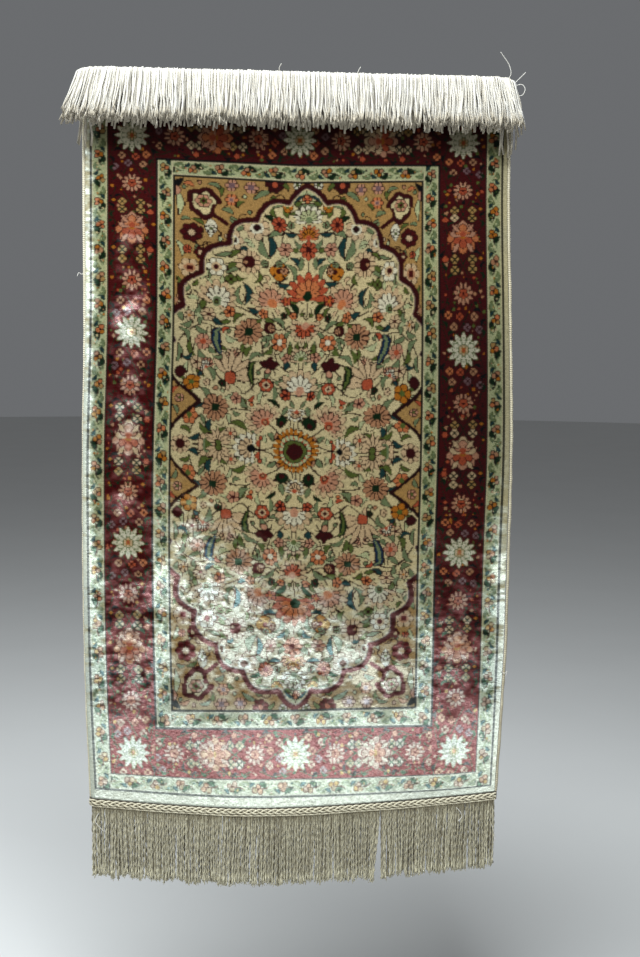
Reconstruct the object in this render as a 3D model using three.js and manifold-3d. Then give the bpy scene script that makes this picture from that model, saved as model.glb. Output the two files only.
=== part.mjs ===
import * as THREE from 'three';
import Module from 'manifold-3d';
import { mergeVertices } from 'three/addons/utils/BufferGeometryUtils.js';

// A small hand-knotted silk rug that hangs by its top edge.
// Millimetres, +Z up. The origin is the middle of the top edge, on the plane that the rug hangs against (y = 0).
// The pile faces -Y. "Across" runs left to right over the cloth, and "down" runs from the top edge to the foot.

// Driving dimensions
const CLOTH_THICKNESS = 4;
const HALF_LINE = 291;
const EDGE_BAND = 13;
const CLOTH_HALF = HALF_LINE + 8;
const EDGE_STATION = HALF_LINE + 4;
const FIELD_STATIONS_END = HALF_LINE - 8;
const HEADER_DEPTH = 12;
const HEADER_THICKNESS = 3.2;
const HEADER_HALF = HALF_LINE + 12;
const PARTING = 0.3;
const CLOTH_TOP = HEADER_DEPTH + PARTING;
const CLOTH_FOOT = 1041;
const FOOT_HEADER_TOP = CLOTH_FOOT + PARTING;
const FOOT_HEADER_END = FOOT_HEADER_TOP + HEADER_DEPTH;

// Wide, slow unevenness of the hanging cloth
const BELLY_PLACE = -60;
const BELLY_WIDTH = 150;
const RIPPLE = 1.2;
const RIPPLE_LENGTH_DOWN = 85;
const RIPPLE_LENGTH_ACROSS = 120;
const RIPPLE_STARTS = 200;
const FOOT_LIFT = 14;
const FOOT_LIFT_CENTRE = 10;
const FOOT_LIFT_STARTS = 880;

// How the cloth hangs at a few heights. leftLine and rightLine are where the dark lines inside the cream edges lie,
// shift is how far the field leans sideways, curl is how far the left edge turns back in radians, rightBand is the
// width of the right cream edge, and sides and belly are how far the cloth stands off the plane behind it.
const ROWS = [
  { down: 0, leftLine: -288, rightLine: 287, shift: 0, curl: 0.05, rightBand: 13, sides: 1.6, belly: 1.6 },
  { down: 60, leftLine: -288.5, rightLine: 287, shift: 0, curl: 0.1, rightBand: 13, sides: 3, belly: 3 },
  { down: 170, leftLine: -289, rightLine: 288, shift: 0, curl: 0.3, rightBand: 13, sides: 6, belly: 6 },
  { down: 346, leftLine: -290.5, rightLine: 293.5, shift: -2, curl: 1.1, rightBand: 14, sides: 10, belly: 10 },
  { down: 517, leftLine: -296, rightLine: 297, shift: -4.5, curl: 1.7, rightBand: 15.5, sides: 13, belly: 13 },
  { down: 677, leftLine: -297, rightLine: 295.5, shift: -4.5, curl: 1.6, rightBand: 17.5, sides: 13, belly: 14 },
  { down: 800, leftLine: -296, rightLine: 295, shift: -3.5, curl: 1.6, rightBand: 17, sides: 13, belly: 16 },
  { down: 885, leftLine: -294, rightLine: 294, shift: -2.5, curl: 1.5, rightBand: 14.5, sides: 12, belly: 20 },
  { down: 1060, leftLine: -288, rightLine: 290, shift: -1, curl: 1.2, rightBand: 11.5, sides: 10, belly: 26 },
];

// Stations of the sheet
const COLUMN_PITCH = 42;
const ROW_PITCH = 36;
const PROBE_STEP = 0.5;
const MERGE_DISTANCE = 1e-5;

// Overcast selvedges
const SELVEDGE_HALF = 2.35;
const SELVEDGE_SIDES = 8;

// Chain plait along the foot header
const CHAIN_STITCHES = 55;
const CHAIN_PROUD = 0.9;
const CHAIN_SWING = 2.4;
const TOP_HEADER_STATIONS = 36;

// Fringe strands
const STRANDS = 120;
const STRAND_SPREAD = 298;
const STRAND_SIDES = 3;
const STRAND_ROOT = 2.4;
const STRAND_THICK = 1.5;
const STRAND_TIP = 1.1;
const FOOT_STRAND_LENGTH = 109;
const FOOT_STRAND_UNEVEN = 4;
const FOOT_LAYER = 0.8;
const FOOT_DRIFT = { swing: 1.6, length: 47, stray: 0.3 };
const FOOT_BENDS = [
  { share: 0.16, lean: 0.05, layering: 0.5 },
  { share: 0.55, lean: 0.4, layering: 1 },
  { share: 1, lean: 1, layering: 1 },
];
const PART_PLACE = 128;
const PART_LEFT = { reach: 18, opening: -5 };
const PART_RIGHT = { reach: 15, opening: 2.5 };
const TOP_STRAND_FALL = 72;
const TOP_STRAND_UNEVEN = 4;
const TOP_DRIFT = { swing: 1.2, length: 39, stray: 0.3 };
const TOP_HALF_TURNS = [0.28, 0.62, 1];
const SPLAY_IN_FOLD = 1 / 3;
const TOP_ARCH = [7.4, 5.4];
const TOP_LEAN = [5, 2.5];
const TOP_SPLAY_LEFT = { reach: 30, opening: -20 };
const TOP_SPLAY_RIGHT = { reach: 24, opening: 9 };
const TOP_LONG_LEFT = 14;
const TOP_LONG_RIGHT = 20;
const TOP_LONG_EXTRA = 30;

function clamp(value, low, high) {
  return Math.min(high, Math.max(low, value));
}

function smoothStep(low, high, value) {
  const t = clamp((value - low) / (high - low), 0, 1);
  return t * t * (3 - 2 * t);
}

// A steady number between -1 and 1 for each strand and purpose
function uneven(index, purpose) {
  const wave = Math.sin(index * 12.9898 + purpose * 78.233) * 43758.5453;
  return 2 * (wave - Math.floor(wave)) - 1;
}

// A smooth curve through one column of ROWS
function rowValue(column, down) {
  const last = ROWS.length - 1;
  const place = clamp(down, ROWS[0].down, ROWS[last].down);
  let i = 0;
  while (i < last - 1 && place > ROWS[i + 1].down) i += 1;
  const slope = (k) => {
    const before = ROWS[Math.max(k - 1, 0)];
    const after = ROWS[Math.min(k + 1, last)];
    return (after[column] - before[column]) / (after.down - before.down);
  };
  const from = ROWS[i];
  const to = ROWS[i + 1];
  const span = to.down - from.down;
  const t = (place - from.down) / span;
  const rise = t * t * (3 - 2 * t);
  const leave = t * (1 - t) * (1 - t) * span * slope(i);
  const arrive = t * t * (t - 1) * span * slope(i + 1);
  return from[column] + (to[column] - from[column]) * rise + leave + arrive;
}

// The middle of the cloth's thickness, as it hangs
function surface(across, down) {
  const inside = clamp(across, -HALF_LINE, HALF_LINE);
  const share = (inside + HALF_LINE) / (2 * HALF_LINE);
  const left = rowValue('leftLine', down);
  const right = rowValue('rightLine', down);
  let x = left + (right - left) * share + rowValue('shift', down) * (1 - (inside / HALF_LINE) ** 2);
  const sides = rowValue('sides', down);
  const bulge = (rowValue('belly', down) - sides) * Math.exp(-(((across - BELLY_PLACE) / BELLY_WIDTH) ** 2));
  const wave = Math.sin(down / RIPPLE_LENGTH_DOWN + across / RIPPLE_LENGTH_ACROSS);
  const stand = sides + bulge + RIPPLE * wave * smoothStep(0, RIPPLE_STARTS, down);
  let back = 0;
  if (across < -HALF_LINE) {
    const curl = rowValue('curl', down);
    const radius = EDGE_BAND / curl;
    const turn = (-HALF_LINE - across) / radius;
    x -= radius * Math.sin(turn);
    back = radius * (1 - Math.cos(turn));
  } else if (across > HALF_LINE) {
    x += ((across - HALF_LINE) * rowValue('rightBand', down)) / EDGE_BAND;
  }
  const bow = ((across - FOOT_LIFT_CENTRE) / HALF_LINE) ** 2;
  const lift = FOOT_LIFT * bow * smoothStep(FOOT_LIFT_STARTS, CLOTH_FOOT, down);
  return new THREE.Vector3(x, back - stand, lift - down);
}

// The directions across the cloth and out of its face at one place
function frameAt(across, down) {
  const along = surface(across + PROBE_STEP, down).sub(surface(across - PROBE_STEP, down)).normalize();
  const fall = surface(across, down + PROBE_STEP).sub(surface(across, down - PROBE_STEP)).normalize();
  const out = new THREE.Vector3().crossVectors(fall, along).normalize();
  return { along, out };
}

// A point so far in front of the middle of the cloth, or behind it where the distance is negative
function clothPoint(across, down, proud) {
  return surface(across, down).addScaledVector(frameAt(across, down).out, proud);
}

// A closed body through rings of equal length, capped at both ends
function loft(rings) {
  const size = rings[0].length;
  const positions = [];
  for (const ring of rings) {
    for (const point of ring) positions.push(point.x, point.y, point.z);
  }
  const faces = [];
  for (let r = 0; r < rings.length - 1; r += 1) {
    for (let k = 0; k < size; k += 1) {
      const a = r * size + k;
      const b = r * size + ((k + 1) % size);
      faces.push(a, b + size, b, a, a + size, b + size);
    }
  }
  const end = (rings.length - 1) * size;
  for (let k = 0; k < Math.floor((size - 1) / 2); k += 1) {
    const far = size - 1 - k;
    faces.push(k, k + 1, far);
    faces.push(end + k, end + far, end + k + 1);
    if (far - 1 > k + 1) {
      faces.push(k + 1, far - 1, far);
      faces.push(end + k + 1, end + far, end + far - 1);
    }
  }
  const geometry = new THREE.BufferGeometry();
  geometry.setAttribute('position', new THREE.Float32BufferAttribute(positions, 3));
  geometry.setIndex(faces);
  return geometry;
}

function stations(from, to, pitch) {
  const count = Math.max(1, Math.round((to - from) / pitch));
  return Array.from({ length: count + 1 }, (_, i) => from + ((to - from) * i) / count);
}

// The knotted sheet: foundation and pile as one, from header to header
function clothGeometry(downs) {
  const middle = stations(-FIELD_STATIONS_END, FIELD_STATIONS_END, COLUMN_PITCH);
  const columns = [-CLOTH_HALF, -EDGE_STATION, -HALF_LINE, ...middle, HALF_LINE, CLOTH_HALF];
  const half = CLOTH_THICKNESS / 2;
  const rings = downs.map((down) => {
    const front = columns.map((across) => clothPoint(across, down, half));
    const back = columns.map((across) => clothPoint(across, down, -half)).reverse();
    return [...front, ...back];
  });
  return loft(rings);
}

// A cord of overcast yarn along one long edge, parted from the sheet by a hair
function selvedgeGeometry(side, downs) {
  const centre = side * (CLOTH_HALF + PARTING + SELVEDGE_HALF);
  const radius = SELVEDGE_HALF / Math.cos(Math.PI / SELVEDGE_SIDES);
  const rings = downs.map((down) => {
    const { along, out } = frameAt(centre, down);
    const middle = surface(centre, down);
    return Array.from({ length: SELVEDGE_SIDES }, (_, k) => {
      const turn = ((k + 0.5) * 2 * Math.PI) / SELVEDGE_SIDES;
      return middle.clone()
        .addScaledVector(out, radius * Math.cos(turn))
        .addScaledVector(along, radius * Math.sin(turn));
    });
  });
  return loft(rings);
}

// The plain header at the top, hidden under its folded fringe
function topHeaderGeometry() {
  const half = HEADER_THICKNESS / 2;
  const places = stations(-HEADER_HALF, HEADER_HALF, (2 * HEADER_HALF) / TOP_HEADER_STATIONS);
  return loft(places.map((across) => [
    clothPoint(across, 0, half),
    clothPoint(across, 0, -half),
    clothPoint(across, HEADER_DEPTH, -half),
    clothPoint(across, HEADER_DEPTH, half),
  ]));
}

// The header at the foot, with its chain plait raised as one zigzag ridge
function footHeaderGeometry() {
  const half = HEADER_THICKNESS / 2;
  const places = stations(-HEADER_HALF, HEADER_HALF, HEADER_HALF / CHAIN_STITCHES);
  const middle = (FOOT_HEADER_TOP + FOOT_HEADER_END) / 2;
  return loft(places.map((across, i) => [
    clothPoint(across, FOOT_HEADER_TOP, half),
    clothPoint(across, FOOT_HEADER_TOP, -half),
    clothPoint(across, FOOT_HEADER_END, -half),
    clothPoint(across, FOOT_HEADER_END, half),
    clothPoint(across, middle + (i % 2 ? CHAIN_SWING : -CHAIN_SWING), half + CHAIN_PROUD),
  ]));
}

// One strand with a three-sided section, thinner towards its tip
function strandGeometry(path) {
  const rings = path.map((point, i) => {
    const before = path[Math.max(i - 1, 0)];
    const after = path[Math.min(i + 1, path.length - 1)];
    const way = after.clone().sub(before).normalize();
    const side = new THREE.Vector3(1, 0, 0).addScaledVector(way, -way.x).normalize();
    const out = new THREE.Vector3().crossVectors(way, side);
    const radius = STRAND_THICK + ((STRAND_TIP - STRAND_THICK) * i) / (path.length - 1);
    return Array.from({ length: STRAND_SIDES }, (_, k) => {
      const turn = (k * 2 * Math.PI) / STRAND_SIDES;
      return point.clone()
        .addScaledVector(out, radius * Math.cos(turn))
        .addScaledVector(side, radius * Math.sin(turn));
    });
  });
  return loft(rings);
}

function strandPlace(index) {
  return -STRAND_SPREAD + (2 * STRAND_SPREAD * (index + 0.5)) / STRANDS;
}

// How far a strand's tip leans away from an edge or a parting
function leanFrom(distance, { reach, opening }) {
  return opening * Math.exp(-distance / reach);
}

// The slow sideways wander of the strands along a header
function driftOf(across, { swing, length, stray }, chance) {
  return swing * Math.sin(across / length) + stray * chance;
}

// Strands that hang from the foot header
function footStrandPath(index) {
  const across = strandPlace(index);
  const root = clothPoint(across, FOOT_HEADER_END - STRAND_ROOT, 0);
  const exit = clothPoint(across, FOOT_HEADER_END, 0);
  const gap = across - PART_PLACE;
  const parting = gap < 0 ? leanFrom(-gap, PART_LEFT) : leanFrom(gap, PART_RIGHT);
  const length = FOOT_STRAND_LENGTH + FOOT_STRAND_UNEVEN * uneven(index, 1);
  const layer = index % 2 ? FOOT_LAYER : -FOOT_LAYER;
  const drift = parting + driftOf(across, FOOT_DRIFT, uneven(index, 2));
  const bends = FOOT_BENDS.map(({ share, lean, layering }) => new THREE.Vector3(
    exit.x + drift * lean,
    exit.y + layer * layering,
    exit.z - length * share,
  ));
  return [root, ...bends];
}

// Strands that rise from the top header, fold over it and fall in front of the pile
function topStrandPath(index) {
  const across = strandPlace(index);
  const root = clothPoint(across, STRAND_ROOT, 0);
  const exit = clothPoint(across, 0, 0);
  const arch = TOP_ARCH[index % 2];
  const lean = TOP_LEAN[index % 2];
  const fromLeft = across + STRAND_SPREAD;
  const fromRight = STRAND_SPREAD - across;
  const splay = leanFrom(fromLeft, TOP_SPLAY_LEFT) + leanFrom(fromRight, TOP_SPLAY_RIGHT);
  const long = fromLeft < TOP_LONG_LEFT || fromRight < TOP_LONG_RIGHT ? TOP_LONG_EXTRA : 0;
  const fall = TOP_STRAND_FALL + long + TOP_STRAND_UNEVEN * uneven(index, 3);
  const drift = driftOf(across, TOP_DRIFT, uneven(index, 4));
  const fold = TOP_HALF_TURNS.map((share) => new THREE.Vector3(
    exit.x + splay * share * SPLAY_IN_FOLD,
    exit.y - arch * (1 - Math.cos(Math.PI * share)),
    exit.z + arch * Math.sin(Math.PI * share),
  ));
  const tip = new THREE.Vector3(exit.x + splay + drift, exit.y - 2 * arch - lean, exit.z - fall);
  return [root, ...fold, tip];
}

const wasm = await Module();
wasm.setup();

// A closed geometry as a solid that can be joined to another
function solidFrom(geometry) {
  const bare = geometry.clone();
  for (const name of ['normal', 'uv']) bare.deleteAttribute(name);
  const merged = mergeVertices(bare, MERGE_DISTANCE);
  return new wasm.Manifold(new wasm.Mesh({
    numProp: 3,
    vertProperties: new Float32Array(merged.attributes.position.array),
    triVerts: new Uint32Array(merged.index.array),
  }));
}

function geometryFrom(solid) {
  const mesh = solid.getMesh();
  const geometry = new THREE.BufferGeometry();
  geometry.setAttribute('position', new THREE.BufferAttribute(mesh.vertProperties, mesh.numProp));
  geometry.setIndex(new THREE.BufferAttribute(mesh.triVerts, 1));
  return geometry;
}

// A header with every strand's root fused into it
function fringeGeometry(header, strandPath) {
  let fringe = solidFrom(header);
  for (let i = 0; i < STRANDS; i += 1) {
    fringe = fringe.add(solidFrom(strandGeometry(strandPath(i))));
  }
  return geometryFrom(fringe);
}

const pileMaterial = new THREE.MeshStandardMaterial({ color: 0x9c5a4e, roughness: 0.5, metalness: 0 });
const selvedgeMaterial = new THREE.MeshStandardMaterial({ color: 0xded6bd, roughness: 0.6, metalness: 0 });
const fringeMaterial = new THREE.MeshStandardMaterial({ color: 0xc9c3b2, roughness: 0.65, metalness: 0 });

const rug = new THREE.Group();

function addPiece(name, geometry, material) {
  const mesh = new THREE.Mesh(geometry, material);
  mesh.name = name;
  rug.add(mesh);
}

const downs = stations(CLOTH_TOP, CLOTH_FOOT, ROW_PITCH);
addPiece('rug_cloth', clothGeometry(downs), pileMaterial);
addPiece('selvedge_left', selvedgeGeometry(-1, downs), selvedgeMaterial);
addPiece('selvedge_right', selvedgeGeometry(1, downs), selvedgeMaterial);
addPiece('fringe_top', fringeGeometry(topHeaderGeometry(), topStrandPath), fringeMaterial);
addPiece('fringe_bottom', fringeGeometry(footHeaderGeometry(), footStrandPath), fringeMaterial);

export default rug;
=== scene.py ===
"""A small hand-knotted silk rug that hangs by its top edge, dressed for rendering.

Cloth sizes are in millimetres, as on the loom, and every mesh is written in metres. "Across" runs left to right over
the cloth as one faces the pile, and "down" runs from the top edge to the foot.
"""

from __future__ import annotations

import logging
import math
from dataclasses import dataclass, field
from enum import Enum, IntEnum
from typing import NamedTuple, Sequence

import bpy
import numpy as np
from mathutils import Matrix, Vector


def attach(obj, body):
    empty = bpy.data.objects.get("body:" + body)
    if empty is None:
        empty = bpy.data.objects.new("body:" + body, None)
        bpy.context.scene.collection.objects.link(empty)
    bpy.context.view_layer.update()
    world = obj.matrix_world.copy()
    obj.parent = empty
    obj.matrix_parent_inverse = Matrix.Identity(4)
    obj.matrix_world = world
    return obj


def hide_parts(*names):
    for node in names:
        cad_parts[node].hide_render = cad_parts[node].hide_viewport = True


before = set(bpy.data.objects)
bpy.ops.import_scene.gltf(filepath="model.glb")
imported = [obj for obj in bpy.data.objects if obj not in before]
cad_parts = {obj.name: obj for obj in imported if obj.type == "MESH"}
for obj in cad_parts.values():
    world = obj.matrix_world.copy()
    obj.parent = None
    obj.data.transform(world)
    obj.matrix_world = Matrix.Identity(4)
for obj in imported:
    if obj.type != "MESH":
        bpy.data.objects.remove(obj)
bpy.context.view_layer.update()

LOG = logging.getLogger("rug")
MM = 0.001
BODY = "root"
Array = np.ndarray
Mask = Array
Random = np.random.Generator
Path = Sequence[tuple[float, float]]
Triple = tuple[float, float, float]
Material = bpy.types.Material
Piece = bpy.types.Object
Socket = bpy.types.NodeSocket


# Dyes

class Dye(IntEnum):
    """The yarns on the weaver's loom, as numbers in the knot chart."""

    CREAM = 0
    TAN = 1
    WINE = 2
    RED = 3
    CORAL = 4
    GOLD = 5
    PINK = 6
    MIST = 7
    SAGE = 8
    TEAL = 9
    OLIVE = 10
    NAVY = 11
    BROWN = 12
    BLACK = 13
    WHITE = 14
    EDGE = 15
    MAUVE = 16
    APRICOT = 17
    DEEP = 18
    SHELL = 19
    ROSE = 20


(CREAM, TAN, WINE, RED, CORAL, GOLD, PINK, MIST, SAGE, TEAL, OLIVE, NAVY, BROWN, BLACK, WHITE, EDGE, MAUVE, APRICOT,
 DEEP, SHELL, ROSE) = Dye

DYE_COLOUR: dict[Dye, Triple] = {
    CREAM: (0.84, 0.78, 0.62), TAN: (0.72, 0.59, 0.39), WINE: (0.31, 0.08, 0.068),
    RED: (0.37, 0.07, 0.062), CORAL: (0.73, 0.40, 0.28), GOLD: (0.74, 0.50, 0.20),
    PINK: (0.79, 0.61, 0.50), MIST: (0.755, 0.76, 0.60), SAGE: (0.52, 0.56, 0.42),
    TEAL: (0.18, 0.31, 0.30), OLIVE: (0.42, 0.46, 0.25), NAVY: (0.13, 0.24, 0.34),
    BROWN: (0.24, 0.11, 0.07), BLACK: (0.10, 0.10, 0.09), WHITE: (0.88, 0.85, 0.75),
    EDGE: (0.84, 0.80, 0.66), MAUVE: (0.55, 0.44, 0.44), APRICOT: (0.80, 0.53, 0.36),
    DEEP: (0.13, 0.23, 0.13), SHELL: (0.83, 0.73, 0.59), ROSE: (0.74, 0.57, 0.44),
}


def linear(colour: Sequence[float]) -> Array:
    """Turns display colours into the linear ones that shaders use.

    Args:
        colour: Numbers from 0 to 1, of any shape.

    Returns:
        The linear numbers.
    """
    c = np.asarray(colour, float)
    return np.where(c <= 0.04045, c / 12.92, ((c + 0.055) / 1.055) ** 2.4)


def ease(value: Array | float) -> Array:
    """Eases a number from 0 to 1."""
    t = np.clip(value, 0, 1)
    return t * t * (3 - 2 * t)


def heading(turn: float) -> tuple[float, float]:
    """Gives the cosine and the sine of an angle in degrees."""
    return math.cos(math.radians(turn)), math.sin(math.radians(turn))


def mottle(rng: Random, rows: int, columns: int, down: float, across: float) -> Array:
    """Gives a smooth random unevenness over a grid, from -1 to 1.

    Args:
        rng: Random source.
        rows: Rows of the grid.
        columns: Columns of the grid.
        down: Size of a spot in rows.
        across: Size of a spot in columns.

    Returns:
        A number for each place of the grid.
    """
    spots = rng.uniform(-1, 1, (int(rows / down) + 2, int(columns / across) + 2))
    r, c = np.arange(rows) / down, np.arange(columns) / across
    i, j = r.astype(int), c.astype(int)
    rise, run = ease(r - i)[:, None], ease(c - j)[None]
    upper = spots[i][:, j] * (1 - run) + spots[i][:, j + 1] * run
    lower = spots[i + 1][:, j] * (1 - run) + spots[i + 1][:, j + 1] * run
    return upper * (1 - rise) + lower * rise


def smooth_path(points: Sequence[Sequence[float]], steps: int) -> Array:
    """Samples a smooth curve through points, in two or three dimensions.

    Args:
        points: The places that the curve passes.
        steps: Samples for each span.

    Returns:
        The samples, one row each.
    """
    p = np.array([points[0], *points, points[-1]], float)
    t = np.linspace(0, 1, steps, endpoint=False)[:, None]
    spans = []
    for a, b, c, d in zip(p, p[1:], p[2:], p[3:]):
        bend = (2 * a - 5 * b + 4 * c - d) * t ** 2 + (3 * b - a - 3 * c + d) * t ** 3
        spans.append(0.5 * (2 * b + (c - a) * t + bend))
    return np.vstack([*spans, p[-1:]])


def distance_to_path(path: Array, x: Array, y: Array) -> Array:
    """Gives each place's distance to a line of short straight steps."""
    best = np.full(x.shape, np.inf)
    for (ax, ay), (bx, by) in zip(path, path[1:]):
        dx, dy = bx - ax, by - ay
        t = np.clip(((x - ax) * dx + (y - ay) * dy) / (dx * dx + dy * dy + 1e-9), 0, 1)
        best = np.minimum(best, np.hypot(x - ax - t * dx, y - ay - t * dy))
    return best


def mirrored(quarter: Array) -> Array:
    """Mirrors the upper right quarter of a field to all four, which share their middle column."""
    right = np.vstack([quarter[::-1], quarter])
    return np.hstack([right[:, :0:-1], right])


def inside_outline(path: Array, x: Array, y: Array) -> Mask:
    """Tells which places lie inside a closed outline."""
    inside = np.zeros(x.shape, bool)
    for (ax, ay), (bx, by) in zip(path, np.roll(path, -1, axis=0)):
        if ay != by:
            inside ^= ((ay > y) != (by > y)) & (x < (bx - ax) * (y - ay) / (by - ay) + ax)
    return inside


# The knot chart

@dataclass
class KnotChart:
    """A grid of knots to draw on. x grows to the right from x0, and y grows upwards from y0."""

    columns: int
    rows: int
    x0: float = 0.0
    y0: float = 0.0
    ground: Dye = CREAM
    knots: Array = field(init=False)

    def __post_init__(self) -> None:
        """Fills the grid with its ground dye."""
        self.knots = np.full((self.rows, self.columns), int(self.ground), np.uint8)

    def window(self, x: float, y: float, reach: float, turn: float = 0.0) -> tuple:
        """Gives the part of the grid near a place, with turned local coordinates.

        Args:
            x: Centre across, in knots.
            y: Centre upwards, in knots.
            reach: Half the side of the square looked at.
            turn: Degrees that the local x axis is turned by, counter-clockwise.

        Returns:
            The slices of the window, and the local x and y of its knots.
        """
        left, right = max(0, int(x - self.x0 - reach)), min(self.columns, int(x - self.x0 + reach) + 2)
        low, high = max(0, int(y - self.y0 - reach)), min(self.rows, int(y - self.y0 + reach) + 2)
        columns = np.arange(left, max(left, right)) + self.x0 - x
        rows = np.arange(low, max(low, high)) + self.y0 - y
        across, up = np.meshgrid(columns, rows)
        c, s = heading(turn)
        place = (slice(low, low + len(rows)), slice(left, left + len(columns)))
        return place, c * across + s * up, c * up - s * across

    def lay(self, place: tuple[slice, slice], mask: Mask, dye: Dye) -> None:
        """Ties one dye wherever a mask of the window is true."""
        self.knots[place][mask] = int(dye)

    def disc(self, x: float, y: float, radius: float, dye: Dye, rim: Dye | None = None) -> None:
        """Draws a round spot, with an outline where a rim dye is given."""
        place, u, v = self.window(x, y, radius + 1)
        rho = np.hypot(u, v)
        if rim is not None:
            self.lay(place, rho <= radius + 0.9, rim)
        self.lay(place, rho <= radius, dye)

    def rosette(self, x: float, y: float, radius: float, petals: int, dye: Dye, heart: Dye,
                ring: Dye | None = None, rim: Dye = BROWN, split: float = 0.55, point: float = 0.0) -> None:
        """Draws a round flower with scalloped petals about a heart.

        Args:
            x: Centre across.
            y: Centre upwards.
            radius: Reach of the petals.
            petals: How many there are.
            dye: Colour of the petals.
            heart: Colour of the middle.
            ring: Colour between heart and petals, or None.
            rim: Colour of the outlines.
            split: Half width of the lines between petals.
            point: How pointed the petals are, from 0 to 1.
        """
        place, u, v = self.window(x, y, radius + 1)
        rho, theta = np.hypot(u, v), np.arctan2(v, u)
        lobe = np.abs(np.cos(petals * theta / 2))
        edge = radius * (0.80 - 0.12 * point + (0.20 + 0.12 * point) * lobe ** (1 + 1.6 * point))
        self.lay(place, rho <= edge + 0.8, rim)
        self.lay(place, rho <= edge, dye)
        seam = rho * lobe * 2 / petals
        self.lay(place, (seam < split) & (rho > 0.35 * radius) & (rho <= edge), rim)
        if ring is not None:
            self.lay(place, rho <= 0.52 * radius, ring)
        self.lay(place, rho <= 0.32 * radius, heart)

    def palmette(self, x: float, y: float, size: float, turn: float, outer: Dye, inner: Dye, heart: Dye,
                 rim: Dye = BROWN, petals: int = 9) -> None:
        """Draws a fan-shaped blossom that opens along the turned x axis.

        Args:
            x: Centre across.
            y: Centre upwards.
            size: About half its width.
            turn: Where it opens, in degrees.
            outer: Colour of the outer petals.
            inner: Colour of the inner petals.
            heart: Colour of the seed at its foot.
            rim: Colour of the outlines.
            petals: How many outer petals there are.
        """
        place, u, v = self.window(x, y, size * 1.15, turn)
        for share, dye, count in ((1.0, outer, petals), (0.62, inner, petals - 2)):
            base = u + 0.45 * size * share
            rho, theta = np.hypot(base, v), np.arctan2(v, base)
            lobe = np.abs(np.cos(count * theta * 0.9))
            reach = size * share * (1.02 + 0.30 * lobe) * (0.62 + 0.38 * np.cos(theta * 0.85))
            body = (rho <= reach) & (np.abs(theta) < 1.75)
            self.lay(place, (rho <= reach + 0.9) & (np.abs(theta) < 1.8), rim)
            self.lay(place, body, dye)
            self.lay(place, body & (rho * lobe / count < 0.42) & (rho > 0.55 * size * share), rim)
        self.lay(place, np.hypot(u + 0.28 * size, v * 1.1) <= 0.26 * size, heart)

    def spray(self, x: float, y: float, size: float, turn: float, spread: float, dye: Dye, heart: Dye) -> None:
        """Draws a daisy seen from the side, with seven narrow rays spread either way from a round heart."""
        for ray in range(-3, 4):
            angle = turn + spread * ray / 3
            c, s = heading(angle)
            reach = size * (1 - 0.03 * abs(ray))
            self.leaf(x + 0.58 * reach * c, y + 0.58 * reach * s, reach * 0.44, size * 0.085 + 0.6, angle, 0,
                      dye, BROWN)
        self.disc(x, y, 0.20 * size, heart, BROWN)

    def leaf(self, x: float, y: float, half: float, width: float, turn: float, bend: float, dye: Dye,
             rim: Dye | None = None) -> None:
        """Draws a pointed leaf, curved by bend, with an outline where a rim dye is given."""
        place, u, v = self.window(x, y, half + abs(bend) + width + 1, turn)
        s = np.clip(np.abs(u) / half, 0, 1)
        off = np.abs(v - bend * (1 - 2 * s ** 2))
        wide = width * (1 - s ** 1.7)
        inside = np.abs(u) <= half
        if rim is not None:
            self.lay(place, inside & (off <= wide + 0.8), rim)
        self.lay(place, inside & (off <= wide), dye)

    def hook(self, x: float, y: float, size: float, turn: float, dye: Dye, inner: Dye) -> None:
        """Draws a thick leaf whose tip curls over."""
        steps = np.linspace(0, 1, 17)
        c, s = heading(turn)
        for share, colour in ((1.0, BROWN), (0.80, dye), (0.36, inner)):
            for t in steps:
                bend = 0.55 * math.sin(2.6 * t) * (1 if t < 0.75 else 1.3)
                px, py = bend * size * 0.8 - 0.3 * size, size * (t - 0.5) * (1.9 - 0.5 * t)
                fat = share * size * 0.26 * (0.2 + math.sin(math.pi * (0.08 + 0.84 * t)))
                self.disc(x + c * px - s * py, y + s * px + c * py, fat, colour)

    def stem(self, points: Path, dye: Dye, width: float = 0.72) -> None:
        """Draws a smooth stem through a few points."""
        for x, y in smooth_path(points, 14):
            self.disc(x, y, width, dye)

    def tendril(self, x: float, y: float, length: float, turn: float, curl: float, dye: Dye) -> None:
        """Draws a thin curling stem, over bare ground alone.

        Args:
            x: Start across.
            y: Start upwards.
            length: Its length.
            turn: Its first direction, in degrees.
            curl: How much it turns for each knot, in degrees.
            dye: Its colour.
        """
        for _ in range(int(length * 2)):
            c, s = heading(turn)
            x, y = x + c / 2, y + s / 2
            turn += curl / 2
            row, column = round(y - self.y0), round(x - self.x0)
            within = 0 <= row < self.rows and 0 <= column < self.columns
            if within and self.knots[row, column] == self.ground:
                self.knots[row, column] = dye

    def is_bare(self, x: float, y: float, reach: int, ground: Mask | None = None) -> bool:
        """Tells whether a place has only ground about it, and lies on the ground mask if one is given."""
        row, column = int(y - self.y0), int(x - self.x0)
        near = self.knots[max(0, row - reach):row + reach + 1, max(0, column - reach):column + reach + 1]
        return (ground is None or bool(ground[row, column])) and bool((near == self.knots[row, column]).all())


def make_all(kind: type, table: Sequence[tuple]) -> tuple:
    """Makes one thing of a kind from each row of a table."""
    return tuple(kind(*row) for row in table)


class Blossom(NamedTuple):
    """A round flower: place, size and dyes."""

    x: float
    y: float
    radius: float
    petals: int
    dye: Dye
    heart: Dye
    ring: Dye | None = None


class Fan(NamedTuple):
    """A fan-shaped blossom: place, size, where it opens, and dyes."""

    x: float
    y: float
    size: float
    turn: float
    outer: Dye
    inner: Dye
    heart: Dye


class Leaf(NamedTuple):
    """A leaf: place, half length, width, direction, bend and dye."""

    x: float
    y: float
    half: float
    width: float
    turn: float
    bend: float
    dye: Dye


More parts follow.
